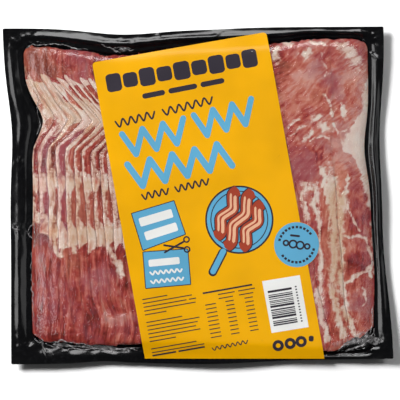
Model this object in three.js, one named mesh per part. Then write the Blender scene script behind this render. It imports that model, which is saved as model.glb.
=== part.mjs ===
// A flat vacuum pack of shingled streaky bacon, lying on its back with the label up.
// Millimetres. +X runs to the pack's right, +Y to its top edge and +Z up out of the label.
// The origin is on the table, under the middle of the pack.
//
// Three pieces: the black backing film, which is pressed into a shallow pocket with a wavy flange round it; the
// bacon under its clear film, as one solid that keeps the steps of the overlapping rashers; and the paper label
// with a round tab, which lies on the film and is stuck down over the flange at both ends.
import * as THREE from "three";

// Heights and thicknesses
const FILM = 0.45; // backing film
const GAP = 0.35; // clearance between neighbouring pieces
const FLANGE_Z = 4.6; // the sealed flange stands off the table, about half way up the pack
const BED_TOP = 13.2; // top of the bacon, clear film included
const LABEL_THICKNESS = 0.3;

// The backing film's outline: corners, then the dents that the vacuum pulls into each edge.
// A dent is [place along the edge from 0 to 1, half width as a share of the edge, depth inwards in mm].
const SHEET = {
  corners: { bl: [-154.6, -139.9], br: [161.8, -135.1], tr: [153.6, 139.9], tl: [-161.8, 138.3] },
  dents: {
    bottom: [[0.24, 0.06, 1.6], [0.52, 0.15, -2.2]],
    right: [[0.36, 0.2, 5.2], [0.66, 0.18, 5.4]],
    top: [[0.32, 0.13, 5.4], [0.52, 0.12, 1.5]],
    left: [[0.69, 0.15, 4.8], [0.4, 0.26, 2.2]],
  },
  corner: 1.2,
};

// The bacon's outline at the seal, drawn the same way.
const BED = {
  corners: { bl: [-136.0, -120.9], br: [144.7, -129.2], tr: [139.4, 130.0], tl: [-144.2, 125.0] },
  dents: {
    bottom: [[0.2, 0.1, -2.0], [0.86, 0.1, -1.8]],
    right: [[0.24, 0.12, -1.8], [0.65, 0.1, 4.2]],
    top: [[0.27, 0.13, 6.0], [0.45, 0.35, 4.6], [0.84, 0.06, -2.8]],
    left: [[0.744, 0.08, 8.4], [0.55, 0.26, 4.4]],
  },
  corner: 10,
};
const SEAL_OUT = 1.2; // the flange starts this far outside the bacon's outline
const BED_OUT = SEAL_OUT - GAP; // the clear film's foot
const FOOT_IN = 1.6; // the pocket's floor starts this far inside it

// The shingle: rashers lie side by side up the pack, each over the one to its left.
const RASHERS = 32;
const REGULAR = 30; // narrow strips; the last two show wide faces
const REGULAR_END = [0.835, 0.645]; // where the narrow ones end, as a share of the width, at the bottom and the top
const SPREAD = 0.16; // how much wider the first strips are than evenly spaced ones
const WIDE = [[0.862, 0.705], [0.905, 0.88]]; // left edges of the last two, at the bottom and the top
const STEP = 1.5; // drop from one rasher's crest to the foot of the next
const CREST = 0.14; // share of a rasher's exposed width that its rounded edge takes
const KINK = { top: 0.885, tip: 0.742, foot: 0.652, reach: 19 }; // the chevron where the slices were folded
const LEAN = { below: 0.26, reach: 8 }; // the slices' lower ends lean to the right

// The bed's height across the pack: thin where the first slice lies flat and where the last slopes down
const LEFT_RISE = { share: 0.14, drop: 6.6 };
const RIGHT_FALL = { share: 0.16, drop: 5.6 };
const SHOULDER = 8.5; // the film's curve from the seal up to the flat of the bed
const LABEL_SLACK = 1.6; // the label's shoulder lies this far outside the film's

// Waves of the flange: a long ridge between edge and seal, and a groove beside the bacon
const RIDGE = { at: 0.4, width: 0.17, height: 1.5 };
const GROOVE = { at: 0.8, width: 0.13, depth: 1.3 };
const RIPPLE = 0.9;
const CORNER_LIFT = 1.6;

// The label: a rectangle turned a little, cut straight along the pack's bottom edge, with a round tab
const LABEL = { left: -87.5, top: 109.7, turn: THREE.MathUtils.degToRad(10.1), width: 146.2, cut: -135.0, corner: 3 };
const TAB = { x: 81.4, y: -40.6, radius: 18.7 };

const SIDES = ["bottom", "right", "top", "left"];
const { lerp, clamp, smoothstep } = THREE.MathUtils;

const bell = (t, middle, width) => Math.exp(-(((t - middle) / width) ** 2));
const dent = (list, t) =>
  list.reduce((sum, [at, width, depth]) => sum + depth * bell(t, at, width), 0) * (1 - (2 * t - 1) ** 8);

// An outline's four edges: bottom and top as heights over x, left and right as places over y.
function edgesOf({ corners: { bl, br, tr, tl }, dents }) {
  const share = (value, from, to) => clamp((value - from) / (to - from), 0, 1);
  const line = (from, to, along, across, list, inwards) => (value) => {
    const t = share(value, from[along], to[along]);
    return lerp(from[across], to[across], t) + inwards * dent(list, t);
  };
  return {
    bottom: line(bl, br, 0, 1, dents.bottom, 1),
    top: line(tl, tr, 0, 1, dents.top, -1),
    left: line(bl, tl, 1, 0, dents.left, 1),
    right: line(br, tr, 1, 0, dents.right, -1),
  };
}
const sheetEdges = edgesOf(SHEET);
const bedEdges = edgesOf(BED);

// A point of an outline, moved inwards by inset. t runs up or rightwards along the side, from the middle of
// one rounded corner to the middle of the next.
function outlinePoint(shape, edges, side, t, inset) {
  const { bl, br, tr, tl } = shape.corners;
  const [from, to] = { bottom: [bl, br], top: [tl, tr], left: [bl, tl], right: [br, tr] }[side];
  const flat = side === "bottom" || side === "top";
  const start = (flat ? from[0] : from[1]) + inset;
  const end = (flat ? to[0] : to[1]) - inset;
  const length = end - start;
  const radius = shape.corner;
  const fromEnd = Math.min(t, 1 - t) * length;
  const angle = (Math.PI / 4) * (1 + Math.min(fromEnd / radius, 1));
  const along = fromEnd < radius ? radius * (1 - Math.cos(angle)) : fromEnd;
  const place = t < 0.5 ? start + along : end - along;
  const inwards = inset + radius * (1 - Math.sin(angle));
  const sign = side === "bottom" || side === "left" ? 1 : -1;
  const across = edges[side](place) + sign * inwards;
  return flat ? [place, across] : [across, place];
}
const sheetPoint = (side, t) => outlinePoint(SHEET, sheetEdges, side, t, 0);
const bedPoint = (side, t, inset) => outlinePoint(BED, bedEdges, side, t, inset);

// How far inside the bacon's outline a point is, with the corners rounded off.
function depthInBed(x, y) {
  const dx = Math.min(x - bedEdges.left(y), bedEdges.right(y) - x) + BED_OUT;
  const dy = Math.min(y - bedEdges.bottom(x), bedEdges.top(x) - y) + BED_OUT;
  const r = BED.corner;
  return dx < r && dy < r ? r - Math.hypot(r - dx, r - dy) : Math.min(dx, dy);
}

const shoulder = (depth) => Math.sqrt(1 - (1 - clamp(depth / SHOULDER, 0, 1)) ** 2);

// Height of the bed's skin at full depth, where share runs across the pack from its left edge to its right.
function bedHeight(share) {
  const rise = LEFT_RISE.drop * (1 - Math.min(share / LEFT_RISE.share, 1)) ** 2;
  const fall = RIGHT_FALL.drop * Math.max((share - 1 + RIGHT_FALL.share) / RIGHT_FALL.share, 0) ** 2;
  return BED_TOP - rise - fall;
}

// Height of the flange, from its outer edge (reach 0) to the seal (reach 1), t of the way along a side.
function flangeHeight(side, t, reach) {
  const turn = SIDES.indexOf(side);
  const swell = 0.75 + 0.35 * Math.sin(9 * t + 2.1 * turn);
  const ends = 1 - (2 * t - 1) ** 6;
  const ridge = RIDGE.height * swell * ends * bell(reach, RIDGE.at, RIDGE.width);
  const groove = GROOVE.depth * (0.4 + 0.6 * ends) * bell(reach, GROOVE.at, GROOVE.width);
  const free = (1 - reach) ** 1.5;
  const ripple = RIPPLE * ends * free * Math.sin(14 * t + 1.3 * turn);
  const lift = CORNER_LIFT * (1 - ends) * free;
  return FLANGE_Z + (ridge - groove) * smoothstep(1 - reach, 0, 0.12) + ripple + lift;
}

// Collects vertices and faces into one closed body.
class Body {
  constructor() {
    this.points = [];
    this.faces = [];
  }
  point(x, y, z) {
    return this.points.push([x, y, z]) - 1;
  }
  // a, b, c, d run anticlockwise seen from outside
  quad(a, b, c, d) {
    this.faces.push([a, b, c], [a, c, d]);
  }
  // Joins two closed rings of the same length: the outside is on the right when walking from a ring to b
  band(a, b) {
    a.forEach((p, i) => {
      const next = (i + 1) % a.length;
      this.quad(p, a[next], b[next], b[i]);
    });
  }
  // Closes a ring to one middle point; up tells which way the face looks for an anticlockwise ring
  cap(ring, middle, up) {
    ring.forEach((p, i) => {
      const next = ring[(i + 1) % ring.length];
      this.faces.push(up ? [p, next, middle] : [next, p, middle]);
    });
  }
  mesh(name, look) {
    const geometry = new THREE.BufferGeometry();
    geometry.setAttribute("position", new THREE.Float32BufferAttribute(this.points.flat(), 3));
    geometry.setIndex(this.faces.flat());
    geometry.computeVertexNormals();
    const made = new THREE.Mesh(geometry, new THREE.MeshStandardMaterial(look));
    made.name = name;
    return made;
  }
}

// Steps along one side from 0 to 1: close together round its corners, about 9 mm apart between.
function alongSide() {
  const ends = [0, 0.006, 0.017, 0.032];
  const middle = [];
  for (let t = 0.066; t < 0.95; t += 0.0345) middle.push(t);
  return [...ends, ...middle, ...ends.map((t) => 1 - t).reverse()];
}

// Walks once round a shape, anticlockwise, as [side, t].
function around() {
  return SIDES.flatMap((side) => {
    const backwards = side === "top" || side === "left";
    return alongSide().slice(0, -1).map((t) => [side, backwards ? 1 - t : t]);
  });
}

// Backing film: a flange with waves, a sloping wall and the flat floor that the pack rests on.
function backingFilm() {
  const body = new Body();
  const walk = around();
  const reaches = [0, 0.22, 0.4, 0.58, 0.72, 0.86, 1];
  const ringAt = (reach, lift) =>
    walk.map(([side, t]) => {
      const [ox, oy] = sheetPoint(side, t);
      const [ix, iy] = bedPoint(side, t, -SEAL_OUT);
      return body.point(lerp(ox, ix, reach), lerp(oy, iy, reach), flangeHeight(side, t, reach) + lift);
    });
  const footRing = (inset, z) => walk.map(([side, t]) => body.point(...bedPoint(side, t, inset), z));
  const top = [...reaches.map((reach) => ringAt(reach, FILM)), footRing(FOOT_IN, FILM)];
  const under = [...reaches.map((reach) => ringAt(reach, 0)), footRing(FOOT_IN - 0.3, 0)];
  for (let i = 1; i < top.length; i++) {
    body.band(top[i - 1], top[i]);
    body.band(under[i], under[i - 1]);
  }
  body.band(under[0], top[0]);
  body.cap(top.at(-1), body.point(0, 0, FILM), true);
  body.cap(under.at(-1), body.point(0, 0, 0), false);
  return body.mesh("black_backing_film", { color: 0x101013, roughness: 0.25, metalness: 0 });
}

// Left edge of rasher k, as a share of the width, at height v of the pack from 0 to 1.
function rasherEdge(k, v) {
  if (k >= RASHERS) return 1;
  if (k >= REGULAR) return lerp(...WIDE[k - REGULAR], v);
  const t = k / REGULAR;
  return t * (1 + SPREAD * (1 - t) ** 2) * lerp(...REGULAR_END, v);
}

// Sideways shift of the slices' edges: the chevron of the fold, and the lean of their lower ends.
function sway(share, v) {
  const { top, tip, foot, reach } = KINK;
  const fold = v > tip ? clamp((top - v) / (top - tip), 0, 1) : clamp((v - foot) / (tip - foot), 0, 1);
  const folds = smoothstep(share, -0.04, 0.1) * (1 - smoothstep(share, 0.25, 0.6));
  const lower = Math.max((LEAN.below - v) / LEAN.below, 0) ** 1.5;
  const leans = smoothstep(share, 0.05, 0.2) * (1 - smoothstep(share, 0.93, 1));
  return reach * fold * folds + LEAN.reach * lower * leans;
}

// Place on the bed: share across and v up, spanned between the four edges of its outline.
function bedPlace(share, v) {
  const bottom = bedPoint("bottom", share, -BED_OUT);
  const top = bedPoint("top", share, -BED_OUT);
  const left = bedPoint("left", v, -BED_OUT);
  const right = bedPoint("right", v, -BED_OUT);
  const corner = (side, t) => bedPoint(side, t, -BED_OUT);
  return [0, 1].map((axis) => {
    const ends = lerp(bottom[axis], top[axis], v) + lerp(left[axis], right[axis], share);
    const low = lerp(corner("bottom", 0)[axis], corner("bottom", 1)[axis], share);
    const high = lerp(corner("top", 0)[axis], corner("top", 1)[axis], share);
    return ends - lerp(low, high, v);
  });
}

// Bacon under its clear film: a bed of steps, one for each rasher, over a plain underside in the pocket.
function filmedBacon() {
  const body = new Body();
  const rows = alongSide();
  const columns = [];
  for (let k = 0; k < RASHERS; k++) {
    columns.push([k, 0], [k, CREST]);
    if (k === 0) columns.push([k, 0.4], [k, 0.7]);
    if (k >= REGULAR) columns.push([k, 0.5]);
  }
  columns.push([RASHERS - 1, 0.75], [RASHERS - 1, 0.9], [RASHERS - 1, 0.97], [RASHERS, 0]);
  const grid = columns.map(([k, within], c) =>
    rows.map((v, r) => {
      const share = lerp(rasherEdge(k, v), rasherEdge(k + 1, v), within);
      const rim = c === 0 || r === 0 || c === columns.length - 1 || r === rows.length - 1;
      const [px, y] = bedPlace(share, v);
      const x = px + (rim ? 0 : sway(share, v) * Math.min(1, 12 * v, 12 * (1 - v)));
      if (rim) return body.point(px, y, FLANGE_Z + FILM);
      const down = k < RASHERS && k > 0 ? (within < CREST ? 1 : (within - CREST) / (1 - CREST)) : 0;
      const skin = bedHeight(share) - STEP * down;
      const low = FLANGE_Z + FILM;
      return body.point(x, y, low + (skin - low) * shoulder(depthInBed(x, y)));
    }),
  );
  for (let c = 1; c < columns.length; c++) {
    for (let r = 1; r < rows.length; r++) {
      body.quad(grid[c - 1][r - 1], grid[c][r - 1], grid[c][r], grid[c - 1][r]);
    }
  }
  const last = { c: columns.length - 1, r: rows.length - 1 };
  const shares = columns.map(([k, within]) => (v) => lerp(rasherEdge(k, v), rasherEdge(k + 1, v), within));
  const rim = [
    ...columns.slice(0, -1).map((_, c) => [grid[c][0], "bottom", shares[c](0)]),
    ...rows.slice(0, -1).map((v, r) => [grid[last.c][r], "right", v]),
    ...columns.slice(1).map((_, c) => [grid[last.c - c][last.r], "top", shares[last.c - c](1)]),
    ...rows.slice(1).map((_, r) => [grid[0][last.r - r], "left", rows[last.r - r]]),
  ];
  const foot = rim.map(([, side, t]) => body.point(...bedPoint(side, t, FOOT_IN + GAP), FILM + GAP));
  body.band(foot, rim.map(([p]) => p));
  body.cap(foot, body.point(0, 0, FILM + GAP), false);
  return body.mesh("bacon_in_clear_film", { color: 0xb9665c, roughness: 0.3, metalness: 0 });
}

// Height of the label's underside: over the bed, and down its shoulders to the flange at top and bottom.
function labelRest(x, y) {
  const share = clamp((x - bedEdges.left(y)) / (bedEdges.right(y) - bedEdges.left(y)), 0, 1);
  const side = y < 0 ? "bottom" : "top";
  const edge = sheetEdges[side](x);
  const seal = bedEdges[side](x) + (side === "bottom" ? -SEAL_OUT : SEAL_OUT);
  const reach = clamp((y - edge) / (seal - edge), RIDGE.at, 1);
  const corners = SHEET.corners;
  const t = (x - corners.bl[0]) / (corners.br[0] - corners.bl[0]);
  const flange = flangeHeight(side, t, reach) + FILM;
  const low = FLANGE_Z + FILM;
  const over = low + (bedHeight(share) - low) * shoulder(depthInBed(x, y) + LABEL_SLACK);
  return Math.max(flange + 0.2, over + 0.1) + GAP;
}

// The label's right edge at b down from its top: straight, apart from the tab.
function labelRight(b, tab) {
  const bulge = TAB.radius ** 2 - (b - tab.b) ** 2;
  return Math.max(LABEL.width, bulge > 0 ? tab.a + Math.sqrt(bulge) : 0);
}

// Paper label: a thin sheet in rows from its top edge down, bent over what it lies on.
function label() {
  const body = new Body();
  const [c, s] = [Math.cos(LABEL.turn), Math.sin(LABEL.turn)];
  const place = (a, b) => [LABEL.left + a * c + b * s, LABEL.top + a * s - b * c];
  const [dx, dy] = [TAB.x - LABEL.left, TAB.y - LABEL.top];
  const tab = { a: dx * c + dy * s, b: dx * s - dy * c };
  const cutAt = (a) => (LABEL.top - LABEL.cut + a * s) / c;
  const meets = Math.sqrt(TAB.radius ** 2 - (LABEL.width - tab.a) ** 2);
  const arc = [-1, -0.93, -0.75, -0.5, -0.2, 0.2, 0.5, 0.75, 0.93, 1].map((u) => tab.b + meets * u);
  const low = tab.b + meets;
  const foot = cutAt(LABEL.width);
  const steps = [0, 0.5, 1.5, LABEL.corner];
  for (let b = 5; b < tab.b - meets - 2; b += b < 28 ? 2.6 : 10) steps.push(b);
  steps.push(...arc);
  for (let b = low + 7; b < foot - 3; b += b > foot - 28 ? 2.6 : 9) steps.push(b);
  steps.push(foot);
  const COLUMNS = 15;
  const sheet = (lift) =>
    steps.map((b) => {
      const nick = b < LABEL.corner ? LABEL.corner - Math.sqrt(LABEL.corner ** 2 - (LABEL.corner - b) ** 2) : 0;
      const right = labelRight(b, tab) - nick;
      const row = [];
      for (let i = 0; i <= COLUMNS; i++) {
        const a = lerp(nick, right, i / COLUMNS);
        const [x, y] = place(a, b > low ? low + ((b - low) * (cutAt(a) - low)) / (foot - low) : b);
        row.push(body.point(x, y, labelRest(x, y) + lift));
      }
      return row;
    });
  const upper = sheet(LABEL_THICKNESS);
  const lower = sheet(0);
  for (let r = 1; r < steps.length; r++) {
    for (let i = 1; i <= COLUMNS; i++) {
      body.quad(upper[r][i - 1], upper[r][i], upper[r - 1][i], upper[r - 1][i - 1]);
      body.quad(lower[r - 1][i - 1], lower[r - 1][i], lower[r][i], lower[r][i - 1]);
    }
  }
  const rimOf = (rows) => [
    ...rows.at(-1).slice(0, -1),
    ...rows.map((row) => row.at(-1)).reverse().slice(0, -1),
    ...[...rows[0]].reverse().slice(0, -1),
    ...rows.map((row) => row[0]).slice(0, -1),
  ];
  body.band(rimOf(lower), rimOf(upper));
  return body.mesh("label", { color: 0xf5b400, roughness: 0.45, metalness: 0 });
}

const baconPack = new THREE.Group();
baconPack.name = "bacon_pack";
baconPack.add(backingFilm(), filmedBacon(), label());

export default baconPack;
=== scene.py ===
"""A flat vacuum pack of streaky bacon, lying label up on a pale table.

Laid out as an add-on: one operator makes each piece or group of like pieces, and one makes the stage. Lengths
are millimetres in the pack's frame until a mesh is made: +X to the pack's right, +Y to its top edge, +Z up.
"""

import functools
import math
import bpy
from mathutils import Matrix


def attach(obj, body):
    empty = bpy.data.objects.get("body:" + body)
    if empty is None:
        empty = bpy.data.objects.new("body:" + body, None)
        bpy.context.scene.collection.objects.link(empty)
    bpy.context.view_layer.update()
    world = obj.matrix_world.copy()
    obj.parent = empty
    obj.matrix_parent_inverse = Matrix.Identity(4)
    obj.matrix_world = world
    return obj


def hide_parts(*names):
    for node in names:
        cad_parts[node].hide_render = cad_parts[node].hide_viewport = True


bl_info = {
    "name": "Vacuum Bacon Pack",
    "version": (1, 0, 0),
    "blender": (4, 5, 0),
    "location": "View3D > Sidebar > Bacon Pack",
    "description": "Builds a vacuum pack of sliced bacon with its film, rashers, label and print",
    "category": "Add Mesh",
}

import bpy
import numpy as np

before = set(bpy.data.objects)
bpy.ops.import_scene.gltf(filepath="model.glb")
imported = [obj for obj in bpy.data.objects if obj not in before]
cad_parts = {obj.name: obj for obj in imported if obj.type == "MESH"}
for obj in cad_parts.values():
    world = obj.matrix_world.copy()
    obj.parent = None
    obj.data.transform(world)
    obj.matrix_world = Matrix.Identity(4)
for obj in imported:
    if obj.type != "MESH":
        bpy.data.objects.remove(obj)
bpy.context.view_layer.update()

MM = 0.001
BODY = "root"

# The pack's real sizes, as in the solids. An outline is its corners and the dents in its edges: place along
# the edge from 0 to 1, half width as a share of the edge, and depth inwards.
FILM = 0.45
GAP = 0.35
FLANGE_Z = 4.6
BED_TOP = 13.2
SHEET = {
    "corners": {"bl": (-154.6, -139.9), "br": (161.8, -135.1), "tr": (153.6, 139.9), "tl": (-161.8, 138.3)},
    "dents": {
        "bottom": [(0.24, 0.06, 1.6), (0.52, 0.15, -2.2)],
        "right": [(0.36, 0.2, 5.2), (0.66, 0.18, 5.4)],
        "top": [(0.32, 0.13, 5.4), (0.52, 0.12, 1.5)],
        "left": [(0.69, 0.15, 4.8), (0.4, 0.26, 2.2)],
    },
    "corner": 1.2,
}
BED = {
    "corners": {"bl": (-136.0, -120.9), "br": (144.7, -129.2), "tr": (139.4, 130.0), "tl": (-144.2, 125.0)},
    "dents": {
        "bottom": [(0.2, 0.1, -2.0), (0.86, 0.1, -1.8)],
        "right": [(0.24, 0.12, -1.8), (0.65, 0.1, 4.2)],
        "top": [(0.27, 0.13, 6.0), (0.45, 0.35, 4.6), (0.84, 0.06, -2.8)],
        "left": [(0.744, 0.08, 8.4), (0.55, 0.26, 4.4)],
    },
    "corner": 10.0,
}
# A side's first and last corner, the axis it runs along and the sign of inwards across it
SIDES = {
    "bottom": ("bl", "br", 0, 1),
    "right": ("br", "tr", 1, -1),
    "top": ("tl", "tr", 0, -1),
    "left": ("bl", "tl", 1, 1),
}
SEAL_OUT = 1.2
BED_OUT = SEAL_OUT - GAP
FOOT_IN = 1.6
RASHERS = 32
REGULAR = 30
REGULAR_END = (0.835, 0.645)
SPREAD = 0.16
WIDE = [(0.862, 0.705), (0.905, 0.88)]
STEP = 1.5
KINK = {"top": 0.885, "tip": 0.742, "foot": 0.652, "reach": 19.0}
LEAN = {"below": 0.26, "reach": 8.0}
LEFT_RISE = {"share": 0.14, "drop": 6.6}
RIGHT_FALL = {"share": 0.16, "drop": 5.6}
SHOULDER = 8.5
RIDGE = {"at": 0.4, "width": 0.17, "height": 1.5}
GROOVE = {"at": 0.8, "width": 0.13, "depth": 1.3}
RIPPLE = 0.9
CORNER_LIFT = 1.6
LABEL = {"left": -87.5, "top": 109.7, "turn": math.radians(10.1), "width": 146.2, "cut": -135.0, "corner": 3.0}
TAB = {"x": 81.4, "y": -40.6, "radius": 18.7}

# Finer sizes that only these pieces show
CREST = 1.9  # a rasher's rounded edge
SOFT_CREST = 6.5  # the same where the rashers lie flat, as in their lean ends
LAP = 0.8  # how far a rasher rises to meet the thin edge of the next one there
SLICE = 1.42  # a rasher's thickness
RASHER_ROWS = 240  # rows of points up a rasher
BLACK_FILM = 0.3  # the black film's thickness
LABEL_LANES = 110  # lanes of faces across the label
PRINT_LIFT = 0.05  # height of the first layer of print over the label, and of each layer over the one before
FIELD_STEP = 0.8  # spacing of the heights that film and label are laid on
CLING = 0.08  # clearance of film over meat
FADE = 4.5  # how far fat takes to pass into lean
BED_WIDTH = 285.0  # about the bed's size, to turn shares of it into millimetres
BED_TALL = 250.0
PACK_WIDTH = 323.0
PACK_TALL = 280.0
FILM_LAP = 2.2  # how far the clear film laps over the flange
LABEL_REACH = 5  # steps of the heights that the stiff label bridges
LABEL_EVEN = 8  # steps over which it evens out
LABEL_OFF = 0.1  # clearance of label over film
# Camera: the photograph's middle, its width at the pack, and how far off a long lens looks straight down
VIEW = {"middle": (1.66, -3.73), "width": 331.2, "distance": 2400.0, "height": 6.0, "sensor": 36.0}
# Lamps: name, place and size in metres, watts and use. The table's lamps draw the pack's shadow and light
# nothing else, the pack's own light all but the table, and the rest are only mirrored in its gloss.
LAMPS = [
    ("table key", (-1.45, 1.12, 1.15), 0.8, 112, "table"),
    ("table fill", (1.3, 1.1, 1.0), 0.8, 11.5, "table"),
    ("soft box", (-0.75, 0.65, 1.6), 0.9, 36, "pack"),
    ("fill", (0.7, -0.3, 1.8), 1.4, 7.5, "pack"),
    ("gloss top", (-0.2, 1.15, 1.55), 1.1, 26, "gloss"),
    ("gloss left", (-1.5, 0.1, 1.4), 1.0, 12, "gloss"),
    ("gloss right", (1.8, -0.1, 1.3), 1.2, 4, "gloss"),
]


def linear(code):
    """An sRGB hex code as linear red, green, blue and alpha."""
    parts = [int(code[i : i + 2], 16) / 255 for i in (0, 2, 4)]
    return tuple(c / 12.92 if c <= 0.04045 else ((c + 0.055) / 1.055) ** 2.4 for c in parts) + (1.0,)


def length(name, description, size):
    """One length setting for the panel, from millimetres."""
    return bpy.props.FloatProperty(name=name, description=description, default=size * MM, unit="LENGTH")


def colour(name, description, code):
    """One colour setting for the panel."""
    return bpy.props.FloatVectorProperty(
        name=name, description=description, default=linear(code), size=4, subtype="COLOR", min=0, max=1
    )


class PackSizes(bpy.types.PropertyGroup):
    """Sizes that a user would change without changing the pack's form."""

    film: length("Clear film", "Thickness of the clear film", 0.06)
    label: length("Label", "Thickness of the label", 0.15)
    ink: length("Ink", "Thickness of one printed colour", 0.03)
    rasher_wander: length("Uneven edges", "How far a rasher's edge wanders", 0.9)


class PackColours(bpy.types.PropertyGroup):
    """Colours of the pack's parts."""

    lean: colour("Lean", "Lean meat", "8C2823")
    lean_deep: colour("Deep lean", "Lean where it is darkest", "5C1712")
    lean_pale: colour("Pale lean", "Lean where it is thin", "AC443B")
    lean_fatty: colour("Fatty lean", "Lean mixed with fat", "C36F5F")
    # Also the hue of a few patches of painted lilac sheen of the film
    lean_purple: colour("Purple lean", "Lean where it is most see-through", "9C4E5A")
    lean_brown: colour("Brown lean", "Lean where the cure has dried it", "86301C")
    lean_orange: colour("Orange lean", "Lean where it is dry and pale", "D98D74")
    fat: colour("Fat", "Fat", "D2AC98")
    fat_pale: colour("Pale fat", "Fat where it is thickest", "E6D6CB")
    fat_warm: colour("Warm fat", "Fat where it is yellower", "CBA37C")
    fat_pink: colour("Pink fat", "Fat where lean shows through", "D09C90")
    # Painted shade in the recess under each rasher's edge, and in thin dark lines down the folded strips
    crevice_shade_colour: colour("Crevice_shade", "Dark line between two rashers", "5A2620")
    # Partly the whitening of creased film, partly a painted glint along its folds
    crease_white_and_glint: colour("Creased film", "Film where a crease has whitened it", "D8D5D6")
    black: colour("Black film", "Backing film", "08080A")
    # Mixed into the black film at the peaks of its fine crease noise
    crease_grey: colour("Crease_grey", "Backing film where it is scuffed", "8A8A92")
    yellow: colour("Label yellow", "Label", "F4B000")
    dark: colour("Dark ink", "Darkest print", "37323B")
    blue: colour("Blue ink", "Light blue print", "62ADD2")
    white: colour("White ink", "White print", "F2F2EF")
    red: colour("Red-brown ink", "Printed rashers", "A8442F")
    cream: colour("Cream ink", "Fat of the printed rashers", "EBB592")
    table: colour("Table", "Table top", "F8F8F8")
    table_pale: colour("Pale table", "Table top where it is paler", "FBFBFB")


# Shapes in plan


def mix(a, b, t):
    return a + (b - a) * t


def bell(t, middle, width):
    """A bump of height 1 with soft sides."""
    return np.exp(-(((t - middle) / width) ** 2))


def ramp(value, start, end):
    """0 before start, 1 after end, smooth between."""
    t = np.clip((value - start) / (end - start), 0, 1)
    return t * t * (3 - 2 * t)


def band(value, start, full, fading, end):
    """0 before start, 1 between full and fading, 0 after end, smooth between."""
    return ramp(value, start, full) * (1 - ramp(value, fading, end))


def rounding(t):
    """A quarter circle: 0 at 0, rising steeply to 1 at 1."""
    return np.sqrt(1 - (1 - np.clip(t, 0, 1)) ** 2)


def wander(x, y, size, seed):
    """Smooth noise between -1 and 1, with hills about size across."""
    table = np.random.RandomState(seed).uniform(-1, 1, (64, 64))
    u, v = np.asarray(x) / size, np.asarray(y) / size
    i, j = np.floor(u).astype(int), np.floor(v).astype(int)
    fu, fv = u - i, v - j
    fu, fv = fu * fu * (3 - 2 * fu), fv * fv * (3 - 2 * fv)
    near = mix(table[i % 64, j % 64], table[(i + 1) % 64, j % 64], fu)
    far = mix(table[i % 64, (j + 1) % 64], table[(i + 1) % 64, (j + 1) % 64], fu)
    return mix(near, far, fv)


def side_of(shape, side):
    """A side's first and last corner, the axis it runs along and the sign of inwards across it."""
    first, last, along, inwards = SIDES[side]
    return shape["corners"][first], shape["corners"][last], along, inwards


def edge(shape, side, value):
    """Where one edge of an outline runs, at a place along it."""
    first, last, along, inwards = side_of(shape, side)
    t = np.clip((value - first[along]) / (last[along] - first[along]), 0, 1)
    pull = sum(depth * bell(t, at, width) for at, width, depth in shape["dents"][side])
    return mix(first[1 - along], last[1 - along], t) + inwards * pull * (1 - (2 * t - 1) ** 8)


def outline_point(shape, side, t, inset):
    """A point of an outline moved inwards, t of the way along a side between its rounded corners."""
    first, last, along, inwards = side_of(shape, side)
    start, end = first[along] + inset, last[along] - inset
    radius = shape["corner"]
    t = np.clip(t, 0, 1)
    from_end = np.minimum(t, 1 - t) * (end - start)
    angle = math.pi / 4 * (1 + np.minimum(from_end / radius, 1))
    moved = np.where(from_end < radius, radius * (1 - np.cos(angle)), from_end)
    place = np.where(t < 0.5, start + moved, end - moved)
    across = edge(shape, side, place) + inwards * (inset + radius * (1 - np.sin(angle)))
    return (place, across) if along == 0 else (across, place)


def patch(shape, share, v, inset):
    """A place spanned between an outline's four edges, share of the way across and v of the way up."""
    made = []
    for axis in (0, 1):
        bottom, top = (outline_point(shape, side, share, inset)[axis] for side in ("bottom", "top"))
        left, right = (outline_point(shape, side, v, inset)[axis] for side in ("left", "right"))
        low = mix(*(outline_point(shape, "bottom", t, inset)[axis] for t in (0, 1)), share)
        high = mix(*(outline_point(shape, "top", t, inset)[axis] for t in (0, 1)), share)
        made.append(mix(bottom, top, v) + mix(left, right, share) - mix(low, high, v))
    return made


def depth_in_bed(x, y):
    """How far inside the bacon's outline a point is, with the corners rounded off."""
    dx = np.minimum(x - edge(BED, "left", y), edge(BED, "right", y) - x) + BED_OUT
    dy = np.minimum(y - edge(BED, "bottom", x), edge(BED, "top", x) - y) + BED_OUT
    r = BED["corner"]
    corner = r - np.hypot(r - dx, r - dy)
    return np.where((dx < r) & (dy < r), corner, np.minimum(dx, dy))


def oval(x, y, middle, size, turn):
    """How far out of an oval's middle a point is, 1 on its rim."""
    c, s = math.cos(math.radians(turn)), math.sin(math.radians(turn))
    dx, dy = x - middle[0], y - middle[1]
    return np.hypot((dx * c + dy * s) / size[0], (dy * c - dx * s) / size[1])


def spot(x, y, middle, size, turn=0):
    """1 in an oval patch, 0.5 on its rim and 0 well outside."""
    return np.clip(1.25 - 0.75 * oval(x, y, middle, size, turn), 0, 1)


def soft_spot(x, y, middle, size, turn=0):
    """The same with a broad, soft rim."""
    return np.clip(0.95 - 0.45 * oval(x, y, middle, size, turn), 0, 1)


def off_line(x, y, start, end, spare=0.0):
    """Place along a line, from -spare to 1 + spare, and the distance off it."""
    (ax, ay), (bx, by) = start, end
    t = ((x - ax) * (bx - ax) + (y - ay) * (by - ay)) / ((bx - ax) ** 2 + (by - ay) ** 2)
    t = np.clip(t, -spare, 1 + spare)
    return t, np.hypot(x - ax - t * (bx - ax), y - ay - t * (by - ay))


def seam(x, y, path, width):
    """1 along a line of points, 0.5 at half its width away."""
    nearest = np.min([off_line(x, y, start, end)[1] for start, end in zip(path, path[1:])], axis=0)
    return np.clip(1 - nearest / width, 0, 1)


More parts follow.
